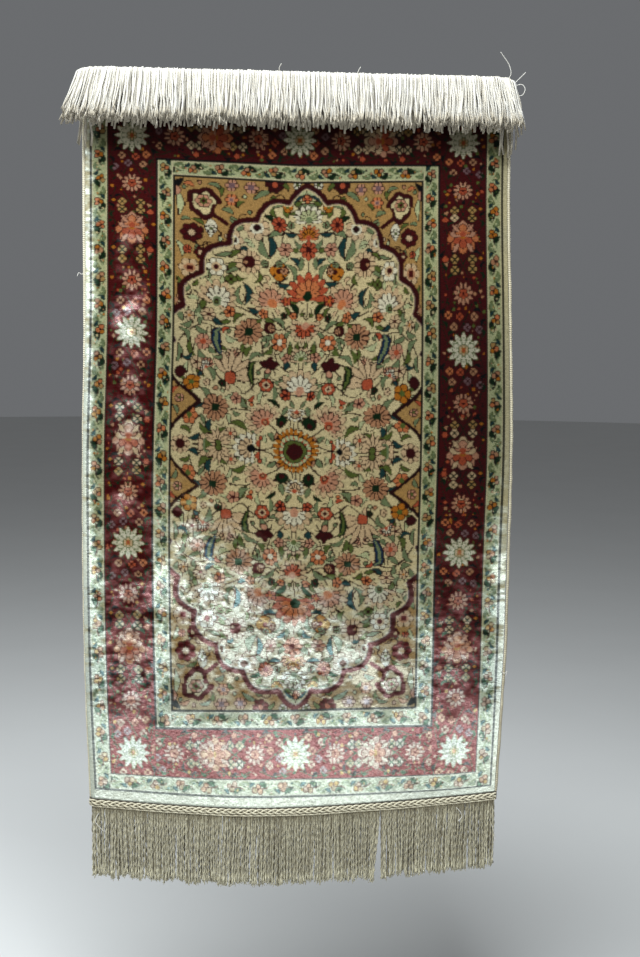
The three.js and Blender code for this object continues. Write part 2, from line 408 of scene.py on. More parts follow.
@dataclass(frozen=True)
class LobedArch:
    """A pointed arch edged with equal lobes, from its peak down to the field's side, in knots."""

    span: float = 118
    spring: float = 92
    rise: float = 146
    fullness: float = 1.25
    lobes: int = 5
    depth: float = 8.0
    point: float = 4.0
    steps: int = 8
    knob: float = 2.9

    def outline(self) -> Array:
        """Gives the places along the arch, one row each, from the peak down."""
        turn = np.linspace(0, np.pi / 2, 400)
        across = self.span * np.sin(turn) ** self.fullness
        up = self.spring + self.rise * np.clip(np.cos(turn), 0, 1) ** self.fullness
        gone = np.concatenate([[0], np.cumsum(np.hypot(np.diff(across), np.diff(up)))])
        halves = 2 * self.lobes + 1
        share = np.linspace(0, 1, self.steps * halves + 1)
        x, y = (np.interp(share * gone[-1], gone, axis) for axis in (across, up))
        dx, dy = np.gradient(x), np.gradient(y)
        out = self.depth * np.abs(np.cos(halves * share * np.pi / 2)) / np.hypot(dx, dy)
        peak = self.point * np.clip(1 - halves * share, 0, 1)
        return np.column_stack([np.where(share > 0, x - dy * out, 0), y + dx * out + peak])

    def cusps(self) -> Array:
        """Gives the places where two lobes meet."""
        return self.outline()[self.steps:-1:2 * self.steps]


@dataclass(frozen=True)
class OgeePoint:
    """A hollow-sided point that stands on the field's side and points inwards, in knots."""

    side: float = 118
    middle: float = 38
    half: float = 26
    depth: float = 28
    hollow: float = 1.4

    def outline(self) -> Array:
        """Gives the places along its edge, one row each, from the upper end down."""
        share = np.linspace(1, -1, 29)
        return np.column_stack([self.side - self.depth * (1 - np.abs(share)) ** self.hollow,
                                self.middle + self.half * share])


@dataclass(frozen=True)
class FieldDrawing:
    """The rug's field, drawn as one quarter in knots to the right of and above its middle."""

    half_columns: int = 117
    half_rows: int = 252
    lean: float = 9.0
    lean_starts: int = 30
    lean_grows: int = 140
    wobble: float = 0.9
    arch: LobedArch = LobedArch()
    side_point: OgeePoint = OgeePoint()
    blossoms: Sequence[Blossom] = make_all(Blossom, (
        (0, 189, 9, 8, CORAL, WINE), (27, 212, 7, 8, CORAL, WINE),
        (23, 189, 6, 6, PINK, WINE), (47, 207, 11, 7, SHELL, BROWN, WHITE),
        (69, 193, 9, 6, SHELL, BROWN, WHITE), (82, 166, 8.5, 6, WHITE, WINE, SHELL),
        (56, 174, 11.5, 12, SHELL, WINE, WINE), (52, 108, 12, 13, ROSE, DEEP),
        (23, 102, 7.5, 7, APRICOT, WHITE), (91, 95, 7, 6, PINK, CORAL),
        (29, 60, 6.5, 6, CORAL, WINE, SHELL), (76, 34, 12, 13, ROSE, DEEP),
        (100, 26, 7.5, 6, APRICOT, OLIVE), (99, 56, 8, 5, GOLD, OLIVE),
        (108, 0, 9, 8, SHELL, WINE, WINE), (83, 2, 9, 7, SHELL, OLIVE, SAGE),
        (12, 52, 4.5, 5, CORAL, WINE), (40, 126, 4.4, 5, APRICOT, BROWN),
        (88, 122, 6, 6, SHELL, WINE), (20, 141, 4.4, 5, CORAL, GOLD),
        (18, 229, 5, 4, GOLD, OLIVE), (0, 237, 3.6, 5, APRICOT, CORAL),
        (70, 156, 4.6, 4, OLIVE, BROWN), (58, 46, 5.5, 5, PINK, WINE),
        (104, 118, 4.4, 5, SHELL, GOLD), (60, 12, 5.6, 6, SHELL, CORAL),
        (96, 76, 5.4, 5, SHELL, WINE), (14, 88, 4.4, 5, PINK, WINE),
        (70, 126, 5.0, 5, APRICOT, WINE)))
    fans: Sequence[Fan] = make_all(Fan, (
        (0, 221, 12, 90, WHITE, MIST, SAGE), (0, 204, 10, 90, APRICOT, GOLD, CORAL),
        (0, 152, 19, 90, CORAL, APRICOT, DEEP), (0, 116, 14, -90, SHELL, CORAL, PINK),
        (0, 90, 11, 90, SHELL, MIST, OLIVE), (0, 62, 17, 90, SHELL, WHITE, PINK),
        (0, 34, 9, -90, WHITE, SHELL, CORAL), (34, 142, 17, 70, SHELL, PINK, APRICOT),
        (80, 139, 17, 115, SHELL, WHITE, SAGE), (33, 29, 16, 45, SHELL, PINK, CORAL),
        (45, 0, 14, 0, WHITE, SHELL, BLACK), (88, 74, 8, 60, PINK, WHITE, CORAL),
        (62, 84, 8, 100, SHELL, PINK, WINE)))
    leaves: Sequence[Leaf] = make_all(Leaf, (
        (35, 191, 11, 2.6, 85, 2, TEAL), (41, 187, 10, 3.4, 70, -2, SAGE),
        (16, 169, 9, 2.4, 60, 3, SAGE), (13, 178, 6, 2.0, 35, 1, TEAL), (55, 144, 11, 2.8, 80, 3, TEAL),
        (61, 141, 10, 2.4, 75, -3, SAGE), (12, 134, 8, 2.2, 50, 2, DEEP), (9, 96, 9, 2.4, 65, -2, SAGE),
        (42, 86, 8, 2.0, -30, 2, SAGE), (60, 86, 7, 2.0, 40, 2, OLIVE), (82, 66, 8, 2.4, 60, 2, SAGE),
        (101, 88, 9, 2.2, 70, -2, OLIVE), (107, 100, 8, 2.2, 60, 2, SAGE), (86, 45, 8, 2.4, 60, 2, SAGE),
        (52, 43, 9, 2.4, 40, 2, OLIVE), (53, 20, 9, 2.4, 20, 2, OLIVE), (60, 10, 8, 2.4, 10, 2, SAGE),
        (84, 14, 9, 2.6, 30, -2, OLIVE), (22, 44, 6, 1.8, 40, 1, DEEP), (108, 36, 6, 1.8, 80, 1, TEAL),
        (20, 225, 7, 3.0, 70, 0, OLIVE), (9, 194, 7, 2.4, 30, -2, SAGE), (36, 217, 6, 2.0, 30, 1, DEEP),
        (60, 184, 6, 1.8, 20, 2, TEAL), (68, 180, 6, 2.2, -40, 1, OLIVE), (88, 148, 8, 2.6, 80, 2, MIST),
        (70, 124, 8, 2.4, 10, 2, SAGE), (62, 121, 6, 2.0, -40, 2, OLIVE), (25, 119, 8, 2.2, 30, 2, SAGE),
        (10, 66, 7, 2.4, 20, 2, MIST), (90, 160, 7, 2.0, 60, 2, SAGE), (46, 160, 6, 2.0, 100, 2, OLIVE),
        (103, 14, 6, 1.8, 30, 1, OLIVE), (112, 82, 8, 1.8, 95, 1, SAGE)))
    stems: Sequence[Path] = (
        ((0, 18), (0, 38)), ((0, 66), (2, 80), (0, 104)), ((0, 128), (0, 140)), ((0, 165), (0, 178)),
        ((18, 4), (30, 0), (40, 0)), ((55, 0), (70, 2), (96, 0)), ((14, 14), (24, 22), (30, 27)),
        ((40, 36), (54, 36), (62, 34)), ((14, 118), (26, 112), (44, 122), (60, 130), (70, 134)),
        ((6, 70), (18, 80), (26, 92), (22, 98)), ((30, 66), (40, 60), (52, 52), (66, 66)),
        ((78, 44), (90, 50), (100, 70), (98, 92), (86, 98)), ((32, 128), (26, 118), (14, 112)),
        ((60, 174), (66, 172), (74, 170)), ((24, 205), (26, 196), (22, 190)), ((8, 204), (16, 206), (22, 210)),
        ((52, 164), (44, 156), (38, 150)), ((62, 182), (66, 188)), ((84, 40), (92, 34)),
        ((100, 10), (96, 20), (90, 26)), ((80, 110), (92, 112), (104, 104), (112, 92)),
        ((40, 200), (34, 204), (30, 208)), ((4, 140), (18, 146), (26, 136)), ((20, 92), (34, 90), (40, 100)),
        ((70, 60), (78, 66), (84, 74)), ((88, 132), (92, 142), (88, 150)))
    corner_blossoms: Sequence[Blossom] = make_all(Blossom, (
        (33, 249, 8, 7, WINE, CORAL), (53, 245, 5.6, 6, PINK, MAUVE, MAUVE),
        (70, 246, 5.6, 6, PINK, MAUVE, MAUVE), (69, 232, 5.6, 6, APRICOT, MAUVE, PINK),
        (103, 196, 9.5, 7, RED, SHELL, WINE), (105, 163, 9, 6, SHELL, RED, ROSE),
        (110, 130, 7, 6, ROSE, OLIVE, SHELL), (96, 178, 5, 5, RED, SHELL),
        (11, 250, 4, 5, WHITE, OLIVE), (109, 113, 4.5, 5, CORAL, WINE)))
    corner_leaves: Sequence[Leaf] = make_all(Leaf, (
        (44, 239, 9, 2.4, -30, 1, SAGE), (80, 240, 6, 2.0, 60, 2, OLIVE), (72, 221, 6, 2.2, 20, 1, SAGE),
        (113, 225, 12, 2.4, 88, 1, MIST), (112, 180, 7, 2.0, 70, 1, MIST),
        (97, 179, 6, 2.0, 60, -1, SAGE), (113, 147, 7, 2.0, 80, 1, OLIVE),
        (106, 144, 6, 2.0, 40, 1, SAGE), (113, 101, 6, 1.6, 60, 1, SAGE), (84, 245, 6, 1.8, 20, 1, SAGE),
        (23, 248, 6, 1.8, 40, 1, OLIVE), (98, 208, 6, 1.6, 30, 1, OLIVE)))

    def middle(self) -> Mask:
        """Gives the knots of the quarter that lie inside the arch."""
        x, y = np.meshgrid(np.arange(self.half_columns) + 0.01, np.arange(self.half_rows) + 0.01)
        edge = self.arch.outline()
        corners = [(self.arch.span, -1), (-1, -1), (-1, edge[0, 1])]
        return inside_outline(np.vstack([edge, corners]), x, y)

    def quarter(self) -> Array:
        """Draws the quarter.

        Returns:
            Its knots, with row 0 at the field's middle.
        """
        chart = KnotChart(self.half_columns, self.half_rows)
        middle = self.middle()
        for points in self.stems:
            chart.stem(points, BROWN)
        self.lay_leaves(chart, self.leaves)
        self.add_collars(chart, seed=3)
        for fan in self.fans:
            chart.palmette(*fan)
        for bloom in self.blossoms:
            chart.rosette(*bloom)
        self.add_sprays(chart)
        self.add_buds(chart)
        self.add_small_growth(chart, middle, 5200, seed=11)
        self.add_medallion(chart)
        self.draw_corner(chart, ~middle)
        self.draw_ribbons(chart, middle)
        return chart.knots

    def whole(self) -> Array:
        """Mirrors the quarter four ways, leans the upper half to the right, and draws it by an unsteady hand.

        Returns:
            The field's knots, with row 0 at the top.
        """
        whole = mirrored(self.quarter())
        rows, columns = whole.shape
        y, x = np.mgrid[:rows, :columns].astype(float)
        x -= self.half_columns - 1
        inward = 1 - (x / self.half_columns) ** 2
        lean = self.lean * ease((self.half_rows - y - self.lean_starts) / self.lean_grows)
        wave_x = np.sin(x / 9.1 + 2.3 * np.sin(y / 17)) + np.sin(y / 11.3 + 1.9 * np.sin(x / 23))
        wave_y = np.sin(y / 8.3 + 2.1 * np.sin(x / 19)) + np.sin(x / 12.7 + 2.2 * np.sin(y / 27))
        from_x = x - lean * inward + self.wobble * wave_x * inward
        from_y = y + self.wobble * wave_y * np.sin(math.pi * y / rows)
        picked_x = np.clip(np.rint(from_x) + self.half_columns - 1, 0, columns - 1).astype(int)
        picked_y = np.clip(np.rint(from_y), 0, rows - 1).astype(int)
        return whole[picked_y, picked_x]

    def lay_leaves(self, chart: KnotChart, leaves: Sequence[Leaf]) -> None:
        """Draws outlined leaves from a table."""
        for leaf in leaves:
            chart.leaf(*leaf, BROWN)

    def add_sprays(self, chart: KnotChart) -> None:
        """Draws the daisies, the hooked leaves beside them and the four-lobed gold flowers."""
        chart.spray(64, 64, 25, 112, 66, SHELL, CORAL)
        chart.spray(72, 2, 14, 90, 80, SHELL, OLIVE)
        chart.hook(44, 72, 12, 12, DEEP, OLIVE)
        chart.hook(78, 99, 15, 5, NAVY, SAGE)
        chart.rosette(27, 168, 8.5, 4, GOLD, WINE, GOLD)
        for dx, dy in ((-4, -4), (4, -4), (-4, 4), (4, 4)):
            chart.disc(27 + dx, 168 + dy, 1.2, BROWN)

    def add_buds(self, chart: KnotChart) -> None:
        """Draws the dark dots, the three-lobed tulips and the buds about the middle."""
        chart.disc(34, 113, 5.0, WINE, BROWN)
        chart.disc(110, 66, 4.4, WINE, BROWN)
        for turn in (20, 90, 160):
            c, s = heading(turn)
            chart.leaf(28 + 4 * c, 79 + 4 * s, 5.6, 3.2, turn, 0, WINE, BROWN)
        chart.disc(28, 74, 2.6, PINK, BROWN)
        chart.disc(13.5, 26, 5.2, DEEP, BROWN)
        chart.disc(13.5, 24, 2.4, WINE)

    def add_collars(self, chart: KnotChart, seed: int) -> None:
        """Sets small leaves round the larger blossoms.

        Args:
            chart: The drawing.
            seed: Start of the random row.
        """
        rng = np.random.default_rng(seed)
        fills = (SAGE, OLIVE, MIST, TEAL, SAGE)
        flowers = [bloom[:3] for bloom in (*self.blossoms, *self.fans)]
        for flower_x, flower_y, radius in flowers:
            start = rng.uniform(0, 72)
            for step in range(5):
                angle = math.radians(start + 72 * step + rng.uniform(-15, 15))
                reach = radius + rng.uniform(3.5, 6)
                x, y = flower_x + reach * math.cos(angle), flower_y + reach * math.sin(angle)
                if 2 < x < chart.columns - 3 and 2 < y < chart.rows - 3 and chart.is_bare(x, y, 1):
                    turn = math.degrees(angle) + rng.uniform(-70, 70)
                    chart.leaf(x, y, rng.uniform(4.5, 7), rng.uniform(1.5, 2.6), turn, rng.uniform(-2, 2),
                               fills[rng.integers(0, len(fills))], BROWN)

    def add_small_growth(self, chart: KnotChart, ground: Mask, tries: int, seed: int) -> None:
        """Fills bare ground with little leaves, buds, blossoms and curling stems.

        Args:
            chart: The drawing.
            ground: Where growth may stand.
            tries: How many places are tried.
            seed: Start of the random row.
        """
        rng = np.random.default_rng(seed)
        fills = (SAGE, OLIVE, CORAL, SHELL, DEEP, MIST, SAGE, APRICOT, ROSE)
        for attempt in range(tries):
            x, y = rng.uniform(2, chart.columns - 4), rng.uniform(2, chart.rows - 4)
            kind, turn, dye = rng.integers(0, 5), rng.uniform(0, 360), fills[rng.integers(0, len(fills))]
            if not chart.is_bare(x, y, 3 if attempt < tries // 2 else 2, ground):
                continue
            if kind == 0:
                chart.leaf(x, y, 4.2, 1.6, turn, 1, dye, BROWN)
            elif kind == 1:
                chart.rosette(x, y, 3.2, 5, dye, WINE, split=0.2)
            elif kind == 2:
                chart.disc(x, y, 1.5, dye, BROWN)
            else:
                chart.tendril(x, y, rng.uniform(9, 20), turn, rng.choice((-1, 1)) * rng.uniform(5, 16), BROWN)

    def add_medallion(self, chart: KnotChart) -> None:
        """Draws the round rosette in the middle of the field."""
        chart.rosette(0, 0, 20, 26, GOLD, WINE, None, split=0.45)
        chart.disc(0, 0, 13.6, MIST, BROWN)
        place, u, v = chart.window(0, 0, 20)
        rho, theta = np.hypot(u, v), np.arctan2(v, u)
        chart.lay(place, (np.abs(rho - 12.2) < 1.6) & (np.abs(np.sin(10 * theta)) < 0.4), CORAL)
        chart.disc(0, 0, 9.8, OLIVE, BROWN)
        chart.disc(0, 0, 7.2, WINE)

    def draw_corner(self, chart: KnotChart, outside: Mask) -> None:
        """Draws the corner piece outside the arch, with its shield."""
        kept = chart.knots.copy()
        chart.knots[:] = TAN
        chart.ground = TAN
        self.lay_leaves(chart, self.corner_leaves)
        for bloom in self.corner_blossoms:
            chart.rosette(*bloom)
        chart.leaf(88, 203, 9.5, 4.8, 88, 0, WHITE, BROWN)
        chart.rosette(88, 201, 4, 4, WHITE, OLIVE)
        place, u, v = chart.window(94, 229, 20)
        pear = np.hypot(u, (v + 1.0) * np.where(v < 0, 0.80, 1.05)) + 0.28 * np.abs(u) * (v < -2)
        lobed = pear + 1.2 * np.cos(5 * np.arctan2(v, u))
        for reach, dye in ((15.0, WINE), (10.6, BROWN), (9.8, CREAM)):
            chart.lay(place, lobed <= reach, dye)
        chart.rosette(94, 229, 6.5, 6, PINK, WINE, OLIVE)
        chart.stem([(86, 216), (80, 212), (74, 208)], WINE, 2.2)
        chart.leaf(114, 246, 7, 3.0, -50, 0, BLACK)
        self.lay_leaves(chart, (Leaf(105, 245, 5, 1.8, 20, 1, APRICOT), Leaf(115, 238, 5, 1.6, 90, 1, PINK)))
        self.add_small_growth(chart, outside, 2200, seed=5)
        chart.knots[~outside] = kept[~outside]

    def draw_ribbons(self, chart: KnotChart, middle: Mask) -> None:
        """Draws the wine ribbon of the arch with its paler inner line, and the dark points at the sides."""
        x, y = np.meshgrid(np.arange(self.half_columns), np.arange(self.half_rows))
        away = distance_to_path(self.arch.outline(), x, y)
        for width, dye in ((4.6, CREAM), (3.4, MAUVE), (2.8, BROWN)):
            chart.knots[middle & (away < width)] = dye
        chart.knots[away < 2.0] = WINE
        for kx, ky in self.arch.cusps():
            chart.disc(kx, ky, self.arch.knob, WINE)
        point = self.side_point.outline()
        tip = inside_outline(point, x + 0.01, y + 0.01)
        chart.knots[tip] = TAN
        chart.rosette(110, 40, 4, 5, PINK, OLIVE)
        self.lay_leaves(chart, (Leaf(113, 30, 5, 1.6, 60, 1, SAGE), Leaf(114, 49, 4, 1.4, -50, 1, CORAL)))
        chart.knots[distance_to_path(point, x, y) < 1.7] = BROWN


class Band(NamedTuple):
    """One band of the frame about the field, in knots, from the outside in."""

    name: str
    side: int
    end: int
    dye: Dye


BANDS = (
    Band("edge", 4, 9, EDGE),
    Band("edge", 2, 2, BLACK),
    Band("outer_guard", 14, 14, MIST),
    Band("outer_guard", 1, 1, BLACK),
    Band("border", 44, 44, RED),
    Band("inner_guard", 2, 2, BLACK),
    Band("inner_guard", 14, 14, MIST),
    Band("inner_guard", 2, 2, BLACK),
)


@dataclass(frozen=True)
class BandDrawing:
    """The running flowers of the border and of the narrow guards."""

    border_width: int = 44
    border_parts_side: int = 12
    border_parts_end: int = 8
    guard_width: int = 14
    guard_pitch: float = 25.0
    order: str = "LsPs"

    def border(self, length: int, parts: int, rng: Random) -> Array:
        """Draws a run of the main border.

        Args:
            length: Knots along the run.
            parts: Steps between flowers, from one corner flower to the other.
            rng: Random source.

        Returns:
            The knots, with row 0 at the outer side of the run.
        """
        first = self.border_width / 2
        chart = KnotChart(length, self.border_width, 0, -first + 0.5, RED)
        pitch = (length - 2 * first) / parts
        kinds = [self.order[part % 4] for part in range(parts + 1)]
        for part in range(-1, parts + 1):
            beside = "P" in kinds[max(part, 0):part + 2]
            self.between(chart, first + part * pitch, pitch, beside, rng)
        for part, kind in enumerate(kinds):
            at = first + part * pitch
            if kind == "s":
                chart.rosette(at, 0, 9.5, 11, PINK, CORAL, SHELL, rim=WINE, split=0.5, point=0.7)
                chart.rosette(at, 0, 4.2, 5, CORAL, WINE, rim=WINE, split=0.2)
            elif kind == "P":
                fan, inner = ((APRICOT, PINK), (PINK, SHELL))[part // 4 % 2]
                chart.palmette(at + 2, 0, 15, 0, fan, CORAL, GOLD, WINE, 6)
                chart.palmette(at - 7, 0, 12, 180, inner, fan, CORAL, WINE, 5)
                for turn in (35, 145, 215, 325):
                    c, s = heading(turn)
                    chart.leaf(at + 12 * c, 12 * s, 4.6, 2.0, turn, 0, inner, WINE)
                for along in (-19, 19):
                    chart.disc(at + along, 17, 2.6, CORAL, WINE)
            else:
                chart.rosette(at, 0, 15.5, 12, WHITE, SHELL, None, OLIVE, split=0.34, point=1.0)
                chart.rosette(at, 0, 10.5, 12, WHITE, SHELL, None, SAGE, split=0.3, point=0.6)
                chart.rosette(at, 0, 4.6, 6, SHELL, CORAL, GOLD, OLIVE, split=0.3)
        return chart.knots

    def between(self, chart: KnotChart, at: float, pitch: float, beside: bool, rng: Random) -> None:
        """Draws the small growth between two flowers of the border.

        Args:
            chart: The run.
            at: Place of the first of the two flowers.
            pitch: Distance between them.
            beside: Whether one of them is a palmette.
            rng: Random source.
        """
        mid = at + pitch / 2
        for side in (-1, 1):
            chart.stem([(at + 4, 15 * side), (mid, 20 * side), (at + pitch - 4, 15 * side)], DEEP, 0.6)
            chart.stem([(at + 9, -8 * side), (mid, 0), (at + pitch - 9, 8 * side)], DEEP, 0.6)
        if beside:
            for up in (-9, 8):
                for along in (-4.2, 4.2):
                    chart.rosette(mid + along + rng.uniform(-1, 1), up, 3.9, 4, (SHELL, TAN)[rng.integers(0, 2)],
                                  DEEP, rim=BLACK)
            chart.leaf(mid, 16, 4.5, 1.8, 20, 1, ROSE, BLACK)
            chart.disc(mid - 6, -17, 1.6, GOLD, BLACK)
        else:
            sprigs = ((-5, -10, ROSE), (4, -4, MAUVE), (-4, 3, CORAL), (5, 10, ROSE),
                      (-6, 14, APRICOT), (7, -15, MAUVE))
            for along, up, dye in sprigs:
                chart.rosette(mid + along + rng.uniform(-1, 1), up + rng.uniform(-1, 1), 3.6, 4, dye, WINE,
                              rim=WINE, split=0.3)
        for along, up, turn in ((-9, 19, 10), (9, -18, 160), (10, 12, 60), (-10, -13, 100), (0, -19, 30),
                                (2, 18, 150)):
            chart.leaf(mid + along, up, 4.6, 1.5, turn, 1.5, DEEP if along > 0 else BLACK)
        sparks = (GOLD, OLIVE, CORAL, ROSE, BLACK, WINE, DEEP, BROWN)
        for _ in range(110):
            x, y = mid + rng.uniform(-pitch / 2, pitch / 2), rng.uniform(-20, 20)
            dye = sparks[rng.integers(0, len(sparks))]
            if 1 < x < chart.columns - 2 and chart.is_bare(x, y, 1):
                chart.disc(x, y, rng.choice((0.9, 1.2, 1.6)), dye)

    def guard(self, length: int, rng: Random) -> Array:
        """Draws a run of a narrow guard.

        Args:
            length: Knots along the run.
            rng: Random source.

        Returns:
            The knots, with row 0 at the outer side of the run.
        """
        start = self.guard_width / 2
        chart = KnotChart(length, self.guard_width, 0, -start + 0.5, MIST)
        count = round((length - 2 * start) / self.guard_pitch)
        pitch = (length - 2 * start) / count
        bits = (OLIVE, TEAL, ROSE, BLACK, GOLD, DEEP, CREAM)
        for step in range(count + 1):
            at = start + step * pitch
            lean = 1 if step % 2 else -1
            mid = at + pitch / 2 + rng.uniform(-1, 1)
            chart.leaf(mid + 1, 2.2 * lean, 5.2, 2.0, -25 * lean, 1.2 * lean, SAGE, OLIVE)
            chart.leaf(mid - 3, -3.0 * lean, 4.0, 1.4, 20 * lean, 1.0, SAGE)
            chart.disc(mid + 1.5, 2.0 * lean, 0.9, MIST)
            for along, up in ((-2.4, 2.0 * lean), (2.2, 2.8 * lean), (0.2, -1.2 * lean)):
                dye = (GOLD, APRICOT, TAN, ROSE)[rng.integers(0, 4)]
                chart.disc(at + along + rng.uniform(-0.5, 0.5), up, rng.uniform(1.5, 2.2), dye, BROWN)
            chart.disc(at, 1.2 * lean, 1.0, BROWN)
            chart.leaf(at + 5.0, -2.8 * lean, 4.2, 1.9, 30 * lean, 0.6, DEEP, BLACK)
            chart.leaf(at - 5.4, -3.0 * lean, 3.2, 1.2, -40 * lean, 0.4, TEAL, BLACK)
            chart.tendril(at + 4, 0, 9, 20 * lean, -9 * lean, BROWN)
            chart.tendril(at - 4, -2 * lean, 9, 160 * lean, 9 * lean, OLIVE)
            for _ in range(7):
                chart.disc(mid + rng.uniform(-8, 8), rng.uniform(-4.6, 4.6), rng.uniform(0.5, 1.1),
                           bits[rng.integers(0, len(bits))])
        chart.knots[[0, -1]] = EDGE
        return chart.knots


@dataclass
class RugChart:
    """The whole rug as knots, row 0 at the top, with the region that each knot belongs to."""

    columns: int = 399
    rows: int = 680
    seed: int = 20
    dyes: Array = field(init=False)
    regions: Array = field(init=False)

    def __post_init__(self) -> None:
        """Draws the bands from the outside in, and then the field."""
        rng = np.random.default_rng(self.seed)
        drawing, middle = BandDrawing(), FieldDrawing()
        self.dyes = np.empty((self.rows, self.columns), np.uint8)
        self.regions = np.empty((self.rows, self.columns), "U12")
        side = end = 0
        for band in BANDS:
            inner = np.s_[end:self.rows - end, side:self.columns - side]
            self.dyes[inner] = band.dye
            self.regions[inner] = band.name
            if band.dye in (MIST, RED):
                sizes = np.repeat((self.rows - 2 * end, self.columns - 2 * side), 2).tolist()
                if band.dye == MIST:
                    runs = [drawing.guard(n, rng) for n in sizes]
                else:
                    parts = np.repeat((drawing.border_parts_side, drawing.border_parts_end), 2).tolist()
                    runs = [drawing.border(n, count, rng) for n, count in zip(sizes, parts)]
                self.lay_frame(runs, side, end, band.side)
            side, end = side + band.side, end + band.end
        inner = np.s_[end:self.rows - end, side:self.columns - side]
        self.dyes[inner] = middle.whole()
        self.regions[inner] = np.where(mirrored(middle.middle()), "field", "spandrels")

    def lay_frame(self, runs: Sequence[Array], side: int, end: int, width: int) -> None:
        """Lays four runs round a rectangle, the two sides first.

        Args:
            runs: The left, right, top and foot runs.
            side: Knots from the rug's sides to the rectangle.
            end: Knots from the rug's ends to the rectangle.
            width: Width of the runs.
        """
        left, right, top, foot = runs
        low, high = side, self.columns - side
        first, last = end, self.rows - end
        self.dyes[first:last, low:low + width] = left.T
        self.dyes[first:last, high - width:high] = right.T[:, ::-1]
        self.dyes[first:first + width, low + width:high - width] = top[:, width:-width]
        self.dyes[last - width:last, low + width:high - width] = foot[::-1, width:-width]


# The hanging cloth

class HangRow(NamedTuple):
    """How the cloth hangs at one height.

    The lines are where the dark lines inside the cream edges lie, shift is how far the field leans sideways, curl is
    how far the left edge turns back in radians, right_band is the width of the right cream edge, and sides and belly
    are how far the cloth stands off the plane behind it.
    """

    down: float
    left_line: float
    right_line: float
    shift: float
    curl: float
    right_band: float
    sides: float
    belly: float


@dataclass(frozen=True)
class HangingCloth:
    """The middle of the cloth's thickness as it hangs, in millimetres."""

    half_line: float = 291.0
    edge_band: float = 13.0
    cloth_half: float = 299.0
    cloth_top: float = 12.3
    cloth_foot: float = 1041.0
    thickness: float = 4.0
    header_depth: float = 12.0
    header_half: float = 303.0
    foot_header_top: float = 1041.3
    belly_place: float = -60.0
    belly_width: float = 150.0
    ripple: float = 1.2
    ripple_down: float = 85.0
    ripple_across: float = 120.0
    ripple_starts: float = 200.0
    foot_lift: float = 14.0
    foot_lift_centre: float = 10.0
    foot_lift_starts: float = 880.0
    step: float = 0.5
    rows: Sequence[HangRow] = make_all(HangRow, (
        (0, -288, 287, 0, 0.05, 13, 1.6, 1.6), (60, -288.5, 287, 0, 0.1, 13, 3, 3),
        (170, -289, 288, 0, 0.3, 13, 6, 6), (346, -290.5, 293.5, -2, 1.1, 14, 10, 10),
        (517, -296, 297, -4.5, 1.7, 15.5, 13, 13), (677, -297, 295.5, -4.5, 1.6, 17.5, 13, 14),
        (800, -296, 295, -3.5, 1.6, 17, 13, 16), (885, -294, 294, -2.5, 1.5, 14.5, 12, 20),
        (1060, -288, 290, -1, 1.2, 11.5, 10, 26)))

    def row_value(self, column: str, down: Array) -> Array:
        """Reads one column of the rows with a smooth curve.

        Args:
            column: Name of the column.
            down: Distances from the top edge.

        Returns:
            The column's value at each distance.
        """
        places = np.array([row.down for row in self.rows])
        values = np.array([getattr(row, column) for row in self.rows])
        last = len(places) - 1
        after, before = np.minimum(np.arange(last + 1) + 1, last), np.maximum(np.arange(last + 1) - 1, 0)
        slope = (values[after] - values[before]) / (places[after] - places[before])
        at = np.clip(down, places[0], places[-1])
        i = np.clip(np.searchsorted(places, at, "left") - 1, 0, last - 1)
        span = places[i + 1] - places[i]
        t = (at - places[i]) / span
        leave = t * (1 - t) ** 2 * span * slope[i]
        arrive = t * t * (t - 1) * span * slope[i + 1]
        return values[i] + (values[i + 1] - values[i]) * ease(t) + leave + arrive

    def surface(self, across: Array, down: Array) -> Array:
        """Gives the places of points of the cloth.

        Args:
            across: Distances from the middle of the cloth.
            down: Distances from the top edge.

        Returns:
            Points, with x, y and z along the last axis.
        """
        across, down = np.broadcast_arrays(np.asarray(across, float), np.asarray(down, float))
        inside = np.clip(across, -self.half_line, self.half_line)
        share = (inside + self.half_line) / (2 * self.half_line)
        left, right = self.row_value("left_line", down), self.row_value("right_line", down)
        x = left + (right - left) * share + self.row_value("shift", down) * (1 - (inside / self.half_line) ** 2)
        sides = self.row_value("sides", down)
        bulge = np.exp(-(((across - self.belly_place) / self.belly_width) ** 2))
        wave = np.sin(down / self.ripple_down + across / self.ripple_across) * ease(down / self.ripple_starts)
        stand = sides + (self.row_value("belly", down) - sides) * bulge + self.ripple * wave
        radius = self.edge_band / self.row_value("curl", down)
        turn = np.maximum(0, -self.half_line - across) / radius
        beyond = np.maximum(0, across - self.half_line) / self.edge_band
        x = x - radius * np.sin(turn) + beyond * self.row_value("right_band", down)
        y = radius * (1 - np.cos(turn)) - stand
        bow = ((across - self.foot_lift_centre) / self.half_line) ** 2
        fall = (down - self.foot_lift_starts) / (self.cloth_foot - self.foot_lift_starts)
        return np.stack([x, y, self.foot_lift * bow * ease(fall) - down], axis=-1)

    def outward(self, across: Array, down: Array) -> Array:
        """Gives the directions straight out of the pile face."""
        along = self.surface(across + self.step, down) - self.surface(across - self.step, down)
        fall = self.surface(across, down + self.step) - self.surface(across, down - self.step)
        out = np.cross(fall, along)
        return out / np.linalg.norm(out, axis=-1, keepdims=True)

    def point(self, across: Array, down: Array, proud: Array | float) -> Array:
        """Gives points so far in front of the middle of the cloth, or behind it where the distance is negative."""
        across, down = np.broadcast_arrays(np.asarray(across, float), np.asarray(down, float))
        return self.surface(across, down) + self.outward(across, down) * np.asarray(proud, float)[..., None]


# Mesh making

